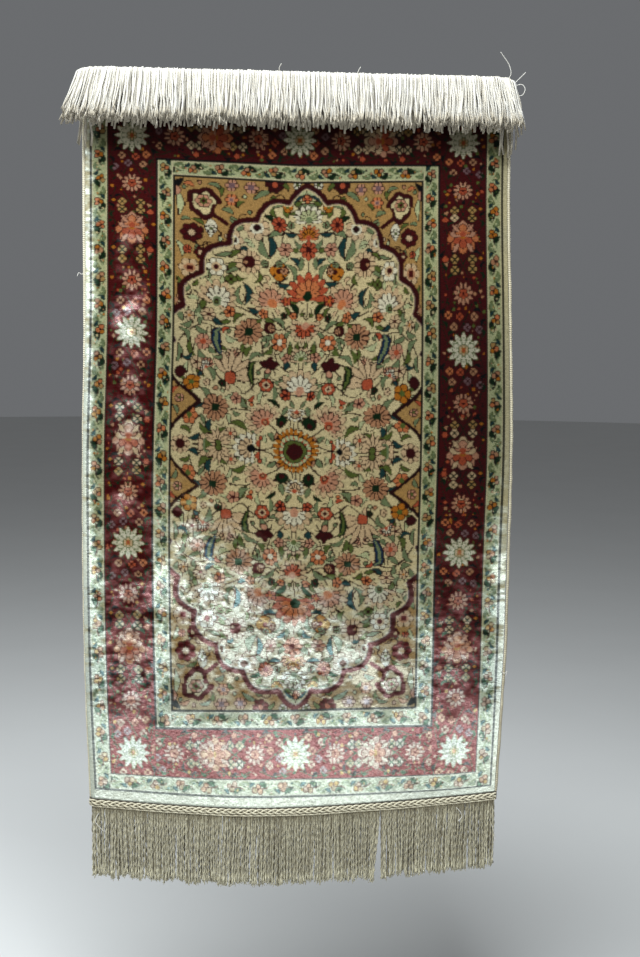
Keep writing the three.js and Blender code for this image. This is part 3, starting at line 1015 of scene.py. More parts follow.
@dataclass
class Draft:
    """A mesh in the making: vertices in millimetres, faces by their number of corners, and what each carries."""

    vertices: list[Array] = field(default_factory=list)
    faces: list[Array] = field(default_factory=list)
    uvs: list[Array] = field(default_factory=list)
    shades: list[Array] = field(default_factory=list)
    count: int = 0

    def add(self, vertices: Array, faces: Sequence[tuple[Array, Array]], shade: Array) -> None:
        """Adds a part.

        Args:
            vertices: Its points, one row each.
            faces: Groups of faces with equal corners, each with the uv of its corners.
            shade: A number for each point, which the finish may read.
        """
        for corners, uv in faces:
            self.faces.append(corners + self.count)
            self.uvs.append(uv)
        self.vertices.append(vertices)
        self.shades.append(shade)
        self.count += len(vertices)

    def piece(self, name: str, material: Material, uv_name: str = "yarn") -> Piece:
        """Makes the Blender object, smooth shaded.

        Args:
            name: Name of the piece.
            material: Its finish.
            uv_name: Name of its uv map.

        Returns:
            The object.
        """
        mesh = bpy.data.meshes.new(name)
        vertices = np.vstack(self.vertices) * MM
        corners = np.concatenate([face.ravel() for face in self.faces])
        sizes = np.concatenate([np.full(len(face), face.shape[1]) for face in self.faces])
        mesh.vertices.add(len(vertices))
        mesh.vertices.foreach_set("co", vertices.astype(np.float32).ravel())
        mesh.loops.add(len(corners))
        mesh.polygons.add(len(sizes))
        mesh.polygons.foreach_set("loop_start", np.concatenate([[0], np.cumsum(sizes)[:-1]]).astype(np.int32))
        mesh.polygons.foreach_set("vertices", corners.astype(np.int32))
        mesh.update(calc_edges=True)
        mesh.shade_smooth()
        layer = mesh.uv_layers.new(name=uv_name)
        layer.uv.foreach_set("vector", np.concatenate([uv.reshape(-1) for uv in self.uvs]).astype(np.float32))
        shade = mesh.attributes.new("shade", "FLOAT", "POINT")
        shade.data.foreach_set("value", np.concatenate(self.shades).astype(np.float32))
        mesh.materials.append(material)
        return link(bpy.data.objects.new(name, mesh))


def cells(number: Array) -> Array:
    """Gives the four corners of the cells of a grid of numbered points."""
    return np.stack([number[:-1, :-1], number[:-1, 1:], number[1:, 1:], number[1:, :-1]], -1).reshape(-1, 4)


def ring_faces(number: Array) -> Array:
    """Gives the four corners of the faces between rings of numbered points, which run along the last axis."""
    here, over = number[..., :-1, :], number[..., 1:, :]
    return np.stack([here, np.roll(here, -1, -1), np.roll(over, -1, -1), over], -1).reshape(-1, 4)


def sweep(draft: Draft, centres: Array, radii: Array, sides: int, shade: Array,
          flat: float = 1.0, twist: Array | float = 0.0) -> None:
    """Adds tubes of equal length in rings, closed at both ends.

    Args:
        draft: The mesh in the making.
        centres: Middle points, by tube, ring and axis.
        radii: Radius by tube and ring.
        sides: Faces round each tube.
        shade: A number for each tube, or for each tube and ring.
        flat: Height of the section over its width.
        twist: Turn of the section, in radians, by tube and ring.
    """
    tubes, rings = centres.shape[:2]
    way = np.gradient(centres, axis=1)
    way /= np.linalg.norm(way, axis=2, keepdims=True) + 1e-12
    side = np.empty_like(centres)
    lead = np.tile([1.0, 0.0, 0.0], (tubes, 1))
    along_x = np.abs(way[:, 0, 0]) > 0.9
    lead[along_x] = (0.0, 0.0, 1.0)
    for i in range(rings):
        lead = lead - (lead * way[:, i]).sum(1, keepdims=True) * way[:, i]
        lead /= np.linalg.norm(lead, axis=1, keepdims=True) + 1e-12
        side[:, i] = lead
    out = np.cross(way, side)
    turn = np.arange(sides) * 2 * math.pi / sides
    spin = np.broadcast_to(np.asarray(twist, float), radii.shape)[..., None]
    wide = radii[..., None] * np.cos(turn)
    high = radii[..., None] * np.sin(turn) * flat
    u = (wide * np.cos(spin) - high * np.sin(spin))[..., None]
    v = (wide * np.sin(spin) + high * np.cos(spin))[..., None]
    points = centres[:, :, None] + side[:, :, None] * u + out[:, :, None] * v
    number = np.arange(tubes * rings * sides).reshape(tubes, rings, sides)
    here, quads = number[:, :-1], ring_faces(number)
    run = np.concatenate([np.zeros((tubes, 1)), np.cumsum(np.linalg.norm(np.diff(centres, axis=1), axis=2), 1)], 1)
    near = np.broadcast_to(run[:, :-1, None], here.shape)
    far = np.broadcast_to(run[:, 1:, None], here.shape)
    low = np.broadcast_to(np.arange(sides) / sides, here.shape)
    high_u = low + 1 / sides
    uv = np.stack([np.stack([low, high_u, high_u, low], -1), np.stack([near, near, far, far], -1)], -1)
    caps = np.vstack([number[:, 0, ::-1], number[:, -1]])
    draft.add(points.reshape(-1, 3), [(quads, uv.reshape(-1, 4, 2)), (caps, np.zeros((*caps.shape, 2)))],
              np.repeat(np.broadcast_to(shade.reshape(tubes, -1), (tubes, rings)), sides))


def link(thing: Piece) -> Piece:
    """Puts an object into the scene."""
    bpy.context.scene.collection.objects.link(thing)
    return thing


def put_on(piece: Piece, slot: str, *nodes: str) -> Piece:
    """Fixes a piece to the rug's body, hides the nodes it stands for, and logs its triangles.

    Args:
        piece: The finished piece.
        slot: Material slot of the record; not used.
        *nodes: Nodes that it replaces.

    Returns:
        The same piece.
    """
    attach(piece, BODY)
    if nodes:
        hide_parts(*nodes)
    triangles = sum(len(face.vertices) - 2 for face in piece.data.polygons)
    LOG.info("%s: %d triangles", piece.name, triangles)
    return piece


# Finishes

@dataclass
class Bench:
    """A material's nodes, added and joined in short lines."""

    name: str
    material: Material = field(init=False)
    shader: bpy.types.Node = field(init=False)

    def __post_init__(self) -> None:
        """Makes the material with its one shader."""
        self.material = bpy.data.materials.new(self.name)
        self.material.use_nodes = True
        self.shader = self.material.node_tree.nodes["Principled BSDF"]

    def add(self, kind: str, inputs: dict[str | int, object] | None = None, **settings: object) -> bpy.types.Node:
        """Adds a node.

        Args:
            kind: The node's type, without its "ShaderNode" prefix.
            inputs: Values or sockets for its inputs.
            **settings: Its other properties.

        Returns:
            The node.
        """
        node = self.material.node_tree.nodes.new("ShaderNode" + kind)
        for key, value in settings.items():
            setattr(node, key, value)
        for key, value in (inputs or {}).items():
            self.give(node.inputs[key], value)
        return node

    def give(self, socket: Socket, value: object) -> None:
        """Sets an input to a value, or joins a socket to it."""
        if isinstance(value, Socket):
            self.material.node_tree.links.new(value, socket)
        else:
            socket.default_value = value

    def maths(self, operation: str, a: object, b: object = 0.0) -> Socket:
        """Gives the result of one sum."""
        return self.add("Math", {0: a, 1: b}, operation=operation).outputs[0]

    def vectors(self, operation: str, a: object, b: object = (0, 0, 0)) -> Socket:
        """Gives the result of one sum of vectors."""
        return self.add("VectorMath", {0: a, 1: b}, operation=operation).outputs[0]

    def noise(self, vector: object, scale: float, detail: float, output: str = "Fac") -> Socket:
        """Gives a noise over a vector."""
        return self.add("TexNoise", {"Vector": vector, "Scale": scale, "Detail": detail}).outputs[output]

    def between(self, value: object, low: float, high: float) -> Socket:
        """Spreads a value from 0 to 1 over another range."""
        return self.add("MapRange", {"Value": value, "To Min": low, "To Max": high}).outputs[0]

    def read(self, name: str, socket: str) -> Socket:
        """Reads an attribute of the mesh."""
        return self.add("Attribute", attribute_name=name).outputs[socket]

    def place(self) -> Socket:
        """Gives places in the object's own frame."""
        return self.add("TexCoord").outputs["Object"]

    def knots(self, columns: int, rows_down: int) -> tuple[Socket, ...]:
        """Lays a grid of knots over the sheet.

        Args:
            columns: Knots across it.
            rows_down: Knots down it.

        Returns:
            The uv, the uv in knots, and a ridge over each knot across and down.
        """
        uv = self.add("UVMap", uv_map="OFBake").outputs[0]
        knots = self.vectors("MULTIPLY", uv, (columns, rows_down, 0))
        split = self.add("SeparateXYZ", {0: self.vectors("MULTIPLY", knots, (math.pi, math.pi, 0))})
        return uv, knots, *(self.maths("ABSOLUTE", self.maths("SINE", split.outputs[axis])) for axis in (0, 1))

    def tinted(self, colour: object, strength: object) -> Socket:
        """Multiplies a colour by a number."""
        return self.add("VectorMath", {0: colour, "Scale": strength}, operation="SCALE").outputs[0]

    def dress(self, **inputs: object) -> Material:
        """Sets the shader's sockets, with spaces for underscores in their names.

        Args:
            **inputs: Values or sockets.

        Returns:
            The finished material.
        """
        for key, value in inputs.items():
            self.give(self.shader.inputs[key.replace("_", " ")], value)
        return self.material


@dataclass(frozen=True)
class SilkPile:
    """Cut silk pile that lies down the rug, so that its face mirrors light from above."""

    roughness: float = 0.30
    metallic: float = 0.10
    specular: float = 0.14
    fibre_low: float = 0.78
    fibre_high: float = 1.22
    patchiness: float = 0.07
    stray: float = 0.40
    knot_height: float = 0.00008

    def material(self, columns: int, rows_down: int) -> Material:
        """Makes the finish.

        Args:
            columns: Knots across the rug.
            rows_down: Knots down the rug.

        Returns:
            The material.
        """
        bench = Bench("silk_pile")
        uv, knots, ridge_x, ridge_y = bench.knots(columns, rows_down)
        fibre = bench.noise(bench.vectors("MULTIPLY", knots, (2.2, 0.7, 1)), 1.0, 3.0)
        patch = bench.noise(bench.vectors("MULTIPLY", uv, (6, 10, 0)), 1.0, 3.0)
        shade = bench.maths("MULTIPLY", bench.between(fibre, self.fibre_low, self.fibre_high),
                            bench.between(patch, 1 - self.patchiness, 1 + self.patchiness))
        relief = bench.maths("ADD", bench.maths("MULTIPLY", ridge_x, ridge_y), fibre)
        streak = bench.noise(bench.vectors("MULTIPLY", knots, (0.35, 0.9, 1)), 1.0, 1.0, "Color")
        stray = bench.vectors("SUBTRACT", streak, (0.5, 0.5, 0.5))
        lean = bench.vectors("ADD", bench.read("nap", "Vector"), bench.tinted(stray, self.stray))
        face = bench.add("NewGeometry").outputs["Normal"]
        leaning = bench.vectors("NORMALIZE", bench.vectors("ADD", face, lean))
        bump = bench.add("Bump", {"Strength": 0.5, "Distance": self.knot_height, "Height": relief,
                                  "Normal": leaning})
        return bench.dress(
            Base_Color=bench.tinted(bench.read("dye", "Color"), shade), Roughness=self.roughness,
            Metallic=self.metallic, Specular_IOR_Level=self.specular, Normal=bump.outputs[0])


@dataclass(frozen=True)
class KnotBacks:
    """The rug's back, where each knot shows as a small flat stitch."""

    roughness: float = 0.75

    def material(self, columns: int, rows_down: int) -> Material:
        """Makes the finish for a rug of so many knots."""
        bench = Bench("knot_backs")
        _, knots, node, rib = bench.knots(columns, rows_down)
        relief = bench.maths("ADD", rib, bench.maths("MULTIPLY", node, 0.6))
        grain = bench.noise(knots, 1.4, 3.0)
        bump = bench.add("Bump", {"Strength": 0.6, "Distance": 0.0004, "Height": relief})
        return bench.dress(Base_Color=bench.tinted(bench.read("dye", "Color"), bench.between(grain, 0.78, 1.15)),
                           Roughness=self.roughness, Sheen_Weight=0.1, Normal=bump.outputs[0])


@dataclass(frozen=True)
class Yarn:
    """Undyed or plain yarn in two plies, with a shade for each strand."""

    name: str
    colour: Triple
    dark: Triple
    plies: float = 2.0
    lay: float = 4.5
    roughness: float = 0.6
    sheen: float = 0.35
    relief: float = 0.5

    def material(self) -> Material:
        """Makes the finish."""
        bench = Bench(self.name)
        uv = bench.add("UVMap", uv_map="yarn").outputs[0]
        split = bench.add("SeparateXYZ", {0: uv})
        around = bench.maths("MULTIPLY", split.outputs[0], 2 * math.pi * self.plies)
        along = bench.maths("MULTIPLY", split.outputs[1], 2 * math.pi / self.lay)
        ply = bench.between(bench.maths("SINE", bench.maths("ADD", around, along)), -0.5, 0.5)
        fibre = bench.noise(bench.place(), 900.0, 3.0)
        patch = bench.noise(bench.place(), 45.0, 2.0)
        shade = bench.read("shade", "Fac")
        depth = bench.maths("ADD", bench.maths("MULTIPLY", ply, 0.25), bench.between(fibre, 0.35, 0.80))
        depth = bench.maths("ADD", depth, bench.between(patch, -0.25, 0.25))
        depth = bench.maths("ADD", depth, shade)
        mixed = bench.add("Mix", {"Factor": depth}, data_type="RGBA", clamp_factor=True)
        bench.give(mixed.inputs[6], (*linear(self.dark), 1))
        bench.give(mixed.inputs[7], (*linear(self.colour), 1))
        height = bench.maths("ADD", ply, bench.maths("MULTIPLY", fibre, 0.8))
        bump = bench.add("Bump", {"Strength": self.relief, "Distance": 0.0005, "Height": height})
        return bench.dress(Base_Color=mixed.outputs[2], Roughness=self.roughness, Sheen_Weight=self.sheen,
                           Sheen_Roughness=0.45, Specular_IOR_Level=0.4, Normal=bump.outputs[0])


@dataclass(frozen=True)
class PlainWeave:
    """The narrow header's cloth: warps over and under wefts."""

    name: str
    colour: Triple
    thread: float = 0.9

    def material(self) -> Material:
        """Makes the finish."""
        bench = Bench(self.name)
        place = bench.place()
        split = bench.add("SeparateXYZ", {0: bench.vectors("MULTIPLY", place, (math.pi / self.thread / MM,) * 3)})
        warp, weft = bench.maths("SINE", split.outputs[0]), bench.maths("SINE", split.outputs[2])
        crossing = bench.maths("MULTIPLY", warp, weft)
        grain = bench.noise(place, 700.0, 3.0)
        tone = bench.maths("MULTIPLY", bench.between(crossing, 0.85, 1.05), bench.between(grain, 0.75, 1.2))
        bump = bench.add("Bump", {"Strength": 0.6, "Distance": 0.0004, "Height": crossing})
        colour = bench.tinted(tuple(linear(self.colour)), tone)
        return bench.dress(Base_Color=colour, Roughness=0.7, Sheen_Weight=0.2, Normal=bump.outputs[0])


@dataclass(frozen=True)
class StagePaint:
    """Matt paint for the floor, with a faint mottle."""

    colour: Triple = (0.86, 0.86, 0.85)

    def material(self) -> Material:
        """Makes the finish."""
        bench = Bench("stage_paint")
        mottle = bench.noise(bench.place(), 3.0, 4.0)
        colour = bench.tinted(tuple(linear(self.colour)), bench.between(mottle, 0.97, 1.03))
        return bench.dress(Base_Color=colour, Roughness=0.9)


# The knotted sheet

class GaussPatch(NamedTuple):
    """A soft patch: centre, reach and strength from 0 to 1. It marks flat pile with painted sheen, and also painted
    shade.
    """

    across: float
    down: float
    reach_across: float
    reach_down: float
    flat: float

    def share(self, across: Array, down: Array) -> Array:
        """Gives how strong it is at each place."""
        reach = ((across - self.across) / self.reach_across) ** 2
        return self.flat * np.exp(-reach - ((down - self.down) / self.reach_down) ** 2)


class Slant(NamedTuple):
    """How far the rows of knots climb at one height: at the left border, and at the right one."""

    down: float
    left: float
    right: float


@dataclass
class KnottedSheet:
    """Pile, foundation and back of the rug."""

    cloth: HangingCloth
    chart: RugChart
    pile_proud: float = 2.0
    pile_depth: float = 1.7
    ground_proud: float = 0.4
    ground_inset: float = 0.4
    back_paler: float = 0.02
    face_lines: int = 13
    back_proud: float = -2.0
    uneven: float = 0.10
    worn_edge: float = 0.5
    nap: float = 0.02
    nap_flat: float = 0.50
    nap_flat_foot: float = 0.95
    nap_right: float = -0.28
    nap_fan: float = -0.22
    dye_depth: float = 1.3
    dye_lot: int = 24
    row_spread: float = 0.018
    knot_spread: float = 0.09
    deep: float = 0.60
    # pale and paling set the painted sheen colour that flat pile is paled towards
    pale: Sequence[float] = (0.485, 0.545, 0.545)
    painted_sheen_paling: float = 0.31
    mingling: float = 0.42
    foot_starts: float = 850.0
    foot_grows: float = 70.0
    seed: int = 7
    row_marks: Sequence[float] = (0, 88, 592, 680)
    row_places: Sequence[float] = (12.3, 143.0, 895.0, 1041.0)
    slant_reach: float = 235.0
    slants: Sequence[Slant] = make_all(Slant, (
        (12, 0, 0), (100, 4, 3), (165, 12, 9), (240, 23, 17), (320, 23, 7), (395, 24, 0), (470, 21, -3),
        (540, 17, -3), (760, 15, 1), (830, 7, 2), (900, 3, 0), (950, 1, -6), (1020, 0, -7), (1041, 0, 0)))
    # Painted shade: these darken the pile's colour, as a painted shadow under the top fringe and as painted shade
    # down the right border
    upright: Sequence[GaussPatch] = make_all(GaussPatch, ((250, 410, 75, 270, 0.42), (0, 48, 420, 42, 0.50)))
    # Where the pile lies flat: the lean of its face, and a painted sheen in its colour
    sheen_patches: Sequence[GaussPatch] = make_all(GaussPatch, (
        (-190, 780, 17, 210, 0.60), (-281, 840, 16, 230, 0.75), (-297, 520, 12, 560, 0.95),
        (188, 830, 17, 180, 0.50), (284, 820, 18, 230, 0.60), (-105, 735, 75, 85, 0.62), (-150, 630, 35, 60, 0.45),
        (-40, 825, 120, 60, 0.55), (110, 850, 80, 60, 0.55), (30, 790, 190, 130, 0.26), (-236, 450, 28, 90, 0.40),
        (-238, 725, 35, 60, 0.36), (235, 700, 30, 60, 0.22), (-238, 335, 24, 50, 0.50), (-240, 590, 26, 45, 0.38),
        (-238, 230, 26, 60, 0.20), (297, 940, 11, 230, 1.20), (-235, 800, 40, 45, 0.40), (-232, 865, 45, 45, 0.60),
        (235, 800, 30, 50, 0.35), (228, 865, 45, 50, 0.55)))
    pieces: list[Piece] = field(default_factory=list)

    def edges(self) -> tuple[Array, Array]:
        """Gives where the lines between knots lie, across and down."""
        half = self.cloth.cloth_half
        across = np.linspace(-half, half, self.chart.columns + 1)
        return across, np.interp(np.arange(self.chart.rows + 1), self.row_marks, self.row_places)

    def spread_out(self, across: Array, down: Array) -> tuple[Array, Array]:
        """Spreads lines between knots into a grid of places, with the slant of the weft."""
        across, down = np.meshgrid(across, down)
        heights = [slant.down for slant in self.slants]
        left = np.interp(down, heights, [slant.left for slant in self.slants])
        right = np.interp(down, heights, [slant.right for slant in self.slants])
        share = np.clip(np.abs(across) / self.slant_reach, 0, 1)
        return across, down - share * np.where(across < 0, left, right)

    def flatness_and_sheen(self, across: Array, down: Array) -> Array:
        """Gives how flat the pile lies on a grid, from 0 to 1, in ragged streaks, for its lean and painted sheen."""
        rng = np.random.default_rng(self.seed + 2)
        rows, columns = across.shape
        flat = np.zeros(across.shape)
        for patch in self.sheen_patches:
            flat = flat + patch.share(across, down)
        ragged = 22 * mottle(rng, rows, columns, 14, 22) + 14 * mottle(rng, rows, columns, 5, 9)
        # The foot band lies flat, which gives it its lean and its painted sheen
        foot = ease((down + ragged - self.foot_starts) / self.foot_grows)
        blot = 0.22 * mottle(rng, rows, columns, 11, 15) + 0.26 * mottle(rng, rows, columns, 3.5, 6)
        streak = 0.40 * mottle(rng, rows, columns, 1.2, 3.2)
        patchy = ease(np.clip(flat, 0, 1) * (1 + 1.5 * blot + streak) + 0.5 * blot * (flat > 0.12))
        return np.clip(np.maximum(patchy * 0.9, foot * (0.92 + 0.25 * streak)), 0, 1)

    def colours(self, flat: Array, upright: Array) -> Array:
        """Gives every knot's linear colour, with the unevenness of hand dyeing, painted sheen and painted shade.

        Args:
            flat: How flat the pile lies at every knot. Flat silk shows its paler flanks, and this paling is painted
                sheen.
            upright: How much painted shade darkens each knot: a painted shadow under the top fringe and painted shade
                down the right border.

        Returns:
            Colours by row, column and channel.
        """
        rng = np.random.default_rng(self.seed)
        table = linear([DYE_COLOUR[dye] for dye in Dye]) ** self.dye_depth
        # Painted shade: upright darkens the colour under the top fringe and down the right border
        deep = self.deep * table[self.chart.dyes] * (1 - upright[..., None])
        pale = np.array(self.pale) * table[self.chart.dyes] ** self.painted_sheen_paling
        # Painted sheen: where the pile lies flat, the colour is paled towards the painted sheen colour
        colour = deep + flat[..., None] * (pale - deep)
        padded = np.pad(colour, ((1, 1), (1, 1), (0, 0)), mode="edge")
        beside = (padded[:-2, 1:-1] + padded[2:, 1:-1] + padded[1:-1, :-2] + padded[1:-1, 2:]) / 4
        colour = colour + self.mingling * (beside - colour)
        rows, columns = self.chart.dyes.shape
        lot = self.dye_lot
        abrash = np.interp(np.arange(rows), np.arange(0, rows + lot, lot), rng.uniform(-1, 1, rows // lot + 2))
        line = rng.normal(0, self.row_spread, rows)
        knot = rng.normal(0, self.knot_spread, (rows, columns))
        colour = colour * (1 + 0.05 * abrash[:, None] + line[:, None] + knot)[..., None]
        warmth = 1 + np.array([0.02, 0.0, -0.04]) * abrash[:, None, None]
        return np.clip(colour * warmth, 0.002, 1)

    def nap_lean(self, across: Array, down: Array, flat: Array) -> Array:
        """Gives how the pile's face leans, as a sideways vector to add to its normal.

        Args:
            across: Distances from the middle.
            down: Distances from the top edge.
            flat: How flat the pile lies at each place.

        Returns:
            A vector for each place.
        """
        flattest = np.interp(down, (0, self.cloth.cloth_foot), (self.nap_flat, self.nap_flat_foot))
        up = self.nap + (flattest - self.nap) * flat
        up = up + 0.04 * np.sin(across / 37 + 1.3 * np.sin(down / 61)) * np.sin(down / 53 + across / 140)
        right = self.nap_right + self.nap_fan * across / self.cloth.half_line
        right = right + 0.05 * np.sin(down / 47 + 1.1 * np.sin(across / 73))
        return np.stack([right, np.zeros(across.shape), up], -1)

    def build(self) -> None:
        """Builds the pile region by region, and then the foundation."""
        across, down = self.edges()
        grid_across, grid_down = self.spread_out(across, down)
        rng = np.random.default_rng(self.seed + 1)
        proud = self.pile_proud + rng.normal(0, self.uneven / 2, grid_across.shape)
        proud[[0, -1]] -= self.worn_edge
        proud[:, [0, -1]] -= self.worn_edge
        front = self.cloth.point(grid_across, grid_down, proud)
        lower = self.cloth.point(grid_across, grid_down, proud - self.pile_depth)
        flat = self.flatness_and_sheen(grid_across, grid_down)
        # upright is painted shade, and flat sets both the pile's lean and its painted sheen
        upright = sum(patch.share(grid_across, grid_down) for patch in self.upright)
        colours = self.colours(flat[:-1, :-1], upright[:-1, :-1])
        nap = self.nap_lean(grid_across, grid_down, flat)
        material = SilkPile().material(self.chart.columns, self.chart.rows)
        for region in ("field", "spandrels", "inner_guard", "border", "outer_guard", "edge"):
            mask = self.chart.regions == region
            piece = self.pile_piece(f"pile_{region}", mask, front, lower, colours, nap, material)
            self.pieces.append(put_on(piece, "silk_pile", "rug_cloth"))
        self.build_ground(colours)

    def pile_piece(self, name: str, mask: Mask, front: Array, lower: Array, colours: Array,
                   nap: Array, material: Material) -> Piece:
        """Builds one region of pile, with a skirt down to the foundation all round it.

        Args:
            name: Name of the piece.
            mask: The knots that belong to it.
            front: Grid of points on the pile's face.
            lower: The same grid at the pile's foot.
            colours: Colour of every knot.
            nap: Lean of the pile at every grid point.
            material: Finish of the pile.

        Returns:
            The piece.
        """
        rows, columns = mask.shape
        number = np.arange((rows + 1) * (columns + 1)).reshape(rows + 1, columns + 1)
        foot, rim = number + number.size, number + 2 * number.size
        r, c = np.nonzero(mask)
        quads = [np.stack([number[r, c], number[r + 1, c], number[r + 1, c + 1], number[r, c + 1]], -1)]
        owners = [np.stack([r, c], -1)]
        padded = np.pad(mask, 1)
        for dr, dc, (ar, ac), (br, bc) in ((0, -1, (0, 0), (1, 0)), (0, 1, (1, 1), (0, 1)),
                                           (-1, 0, (0, 1), (0, 0)), (1, 0, (1, 0), (1, 1))):
            beside = padded[1 + dr:rows + 1 + dr, 1 + dc:columns + 1 + dc]
            r, c = np.nonzero(mask & ~beside)
            a, b = (r + ar, c + ac), (r + br, c + bc)
            quads.append(np.stack([rim[a], foot[a], foot[b], rim[b]], -1))
            owners.append(np.stack([r, c], -1))
        quads, owners = np.vstack(quads), np.vstack(owners)
        used, corners = np.unique(quads, return_inverse=True)
        everything = np.vstack([front.reshape(-1, 3), lower.reshape(-1, 3), front.reshape(-1, 3)])
        rr, cc = np.divmod(used % number.size, columns + 1)
        uv = np.stack([cc / columns, 1 - rr / rows], -1)
        corners = corners.reshape(-1, 4)
        draft = Draft()
        draft.add(everything[used], [(corners, uv[corners])], np.zeros(len(used)))
        piece = draft.piece(name, material, "OFBake")
        self.paint(piece, colours[owners[:, 0], owners[:, 1]])
        lean = piece.data.attributes.new("nap", "FLOAT_VECTOR", "POINT")
        lean.data.foreach_set("vector", nap.reshape(-1, 3)[used % number.size].astype(np.float32).ravel())
        return piece

    def paint(self, piece: Piece, colours: Array) -> None:
        """Writes a colour for every face."""
        attribute = piece.data.attributes.new("dye", "FLOAT_COLOR", "FACE")
        rgba = np.hstack([colours, np.ones((len(colours), 1))])
        attribute.data.foreach_set("color", rgba.astype(np.float32).ravel())

    def build_ground(self, colours: Array) -> None:
        """Builds the foundation as a closed sheet, whose back shows the knots in pairs."""
        across, down = self.edges()
        across, down = across[::2].copy(), down[::2]
        across[-1] = self.cloth.cloth_half
        side = self.cloth.cloth_half - self.ground_inset
        across = np.clip(across, -side, side)
        rows, columns = len(down) - 1, len(across) - 1
        picks = np.unique(np.linspace(0, columns, self.face_lines).astype(int))
        back = self.cloth.point(*self.spread_out(across, down), self.back_proud)
        face = self.cloth.point(*self.spread_out(across[picks], down), self.ground_proud)
        number = np.arange(back[..., 0].size).reshape(rows + 1, columns + 1)
        other = number.size + np.arange(face[..., 0].size).reshape(rows + 1, len(picks))
        behind, before = cells(number), cells(other)[:, [0, 3, 2, 1]]
        left = np.stack([number[:-1, 0], number[1:, 0], other[1:, 0], other[:-1, 0]], -1)
        right = np.stack([number[1:, -1], number[:-1, -1], other[:-1, -1], other[1:, -1]], -1)
        top = np.concatenate([other[0], number[0, ::-1]])[None]
        foot = np.concatenate([number[-1], other[-1, ::-1]])[None]
        faces = [behind, before, left, right, top, foot]
        rr, cc = np.divmod(np.arange(number.size), columns + 1)
        uv_back = np.stack([cc / columns, 1 - rr / rows], -1)
        rr, cc = np.divmod(np.arange(other.size), len(picks))
        uv_face = np.stack([picks[cc] / columns, 1 - rr / rows], -1)
        uv = np.vstack([uv_back, uv_face])
        draft = Draft()
        points = np.vstack([back.reshape(-1, 3), face.reshape(-1, 3)])
        draft.add(points, [(group, uv[group]) for group in faces], np.zeros(len(points)))
        piece = draft.piece("ground_weave", KnotBacks().material(columns, rows), "OFBake")
        paired = self.paired(colours, rows, columns)
        cream = linear(DYE_COLOUR[EDGE])
        plain = np.tile(cream, (len(before) + len(left) + len(right) + 2, 1))
        self.paint(piece, np.vstack([paired.reshape(-1, 3), plain]))
        put_on(piece, "silk_pile", "rug_cloth")

    def paired(self, colours: Array, rows: int, columns: int) -> Array:
        """Averages the knots two by two, as they show from behind, with their painted sheen and painted shade."""
        mean = colours[:2 * rows, :2 * columns].reshape(rows, 2, columns, 2, 3).mean((1, 3))
        return mean + self.back_paler


# Edges and headers

@dataclass
class Selvedge:
    """A cord of overcast yarn along one long edge."""

    cloth: HangingCloth
    side: int
    parting: float = 0.1
    radius: float = 2.35
    wrap: float = 2.6
    rings_per_wrap: int = 3
    sides: int = 5

    def build(self, material: Material) -> None:
        """Builds the cord with one swelling for each turn of the yarn."""
        name = "left" if self.side < 0 else "right"
        rng = np.random.default_rng(40 + self.side)
        length = self.cloth.cloth_foot - self.cloth.cloth_top
        wraps = int(length / self.wrap)
        count = wraps * self.rings_per_wrap + 1
        down = np.linspace(self.cloth.cloth_top, self.cloth.cloth_foot, count)
        swell = np.abs(np.sin(np.arange(count) * math.pi / self.rings_per_wrap))
        slow = np.interp(down, np.linspace(0, 1100, 60), rng.uniform(-1, 1, 60))
        radius = self.radius * (0.84 + 0.22 * swell + 0.06 * slow)
        across = self.side * (self.cloth.cloth_half + self.parting + self.radius) + 0.25 * slow
        centres = self.cloth.point(across, down, 0.3 * slow)
        draft = Draft()
        # Painted light: the left cord is painted paler and the right one darker, as the light falls from the left
        sweep(draft, centres[None], radius[None], self.sides, np.full(1, 0.08 - 0.14 * self.side), flat=0.92)
        put_on(draft.piece(f"overcast_{name}", material), "selvedge_yarn", f"selvedge_{name}")


@dataclass
class Header:
    """The narrow woven strip at one end of the rug."""

    cloth: HangingCloth
    top: float
    thickness: float = 3.0
    stations: int = 150

    def build(self, name: str, material: Material, *nodes: str) -> None:
        """Builds the strip with rounded edges."""
        half = self.thickness / 2
        depth = self.cloth.header_depth
        section = ((0.0, 0.3), (0.4, 1.0), (3.0, 1.0), (6.0, 1.0), (9.0, 1.0), (depth - 0.4, 1.0), (depth, 0.3),
                   (depth, -0.3), (depth - 0.4, -1.0), (6.0, -1.0), (0.4, -1.0), (0.0, -0.3))
        half_width = self.cloth.header_half
        across = np.linspace(-half_width, half_width, self.stations + 1)
        rng = np.random.default_rng(int(self.top) + 3)
        wave = 0.25 * np.interp(across, np.linspace(-half_width, half_width, 50), rng.uniform(-1, 1, 50))
        rings = np.stack([self.cloth.point(across, self.top + down + wave, half * proud)
                          for down, proud in section], 1)
        count, size = rings.shape[:2]
        number = np.arange(count * size).reshape(count, size)
        quads = ring_faces(number)
        caps = np.vstack([number[:1, ::-1], number[-1:]])
        draft = Draft()
        draft.add(rings.reshape(-1, 3), [(quads, np.zeros((len(quads), 4, 2))), (caps, np.zeros((2, size, 2)))],
                  np.zeros(count * size))
        put_on(draft.piece(name, material), "fringe_yarn", *nodes)


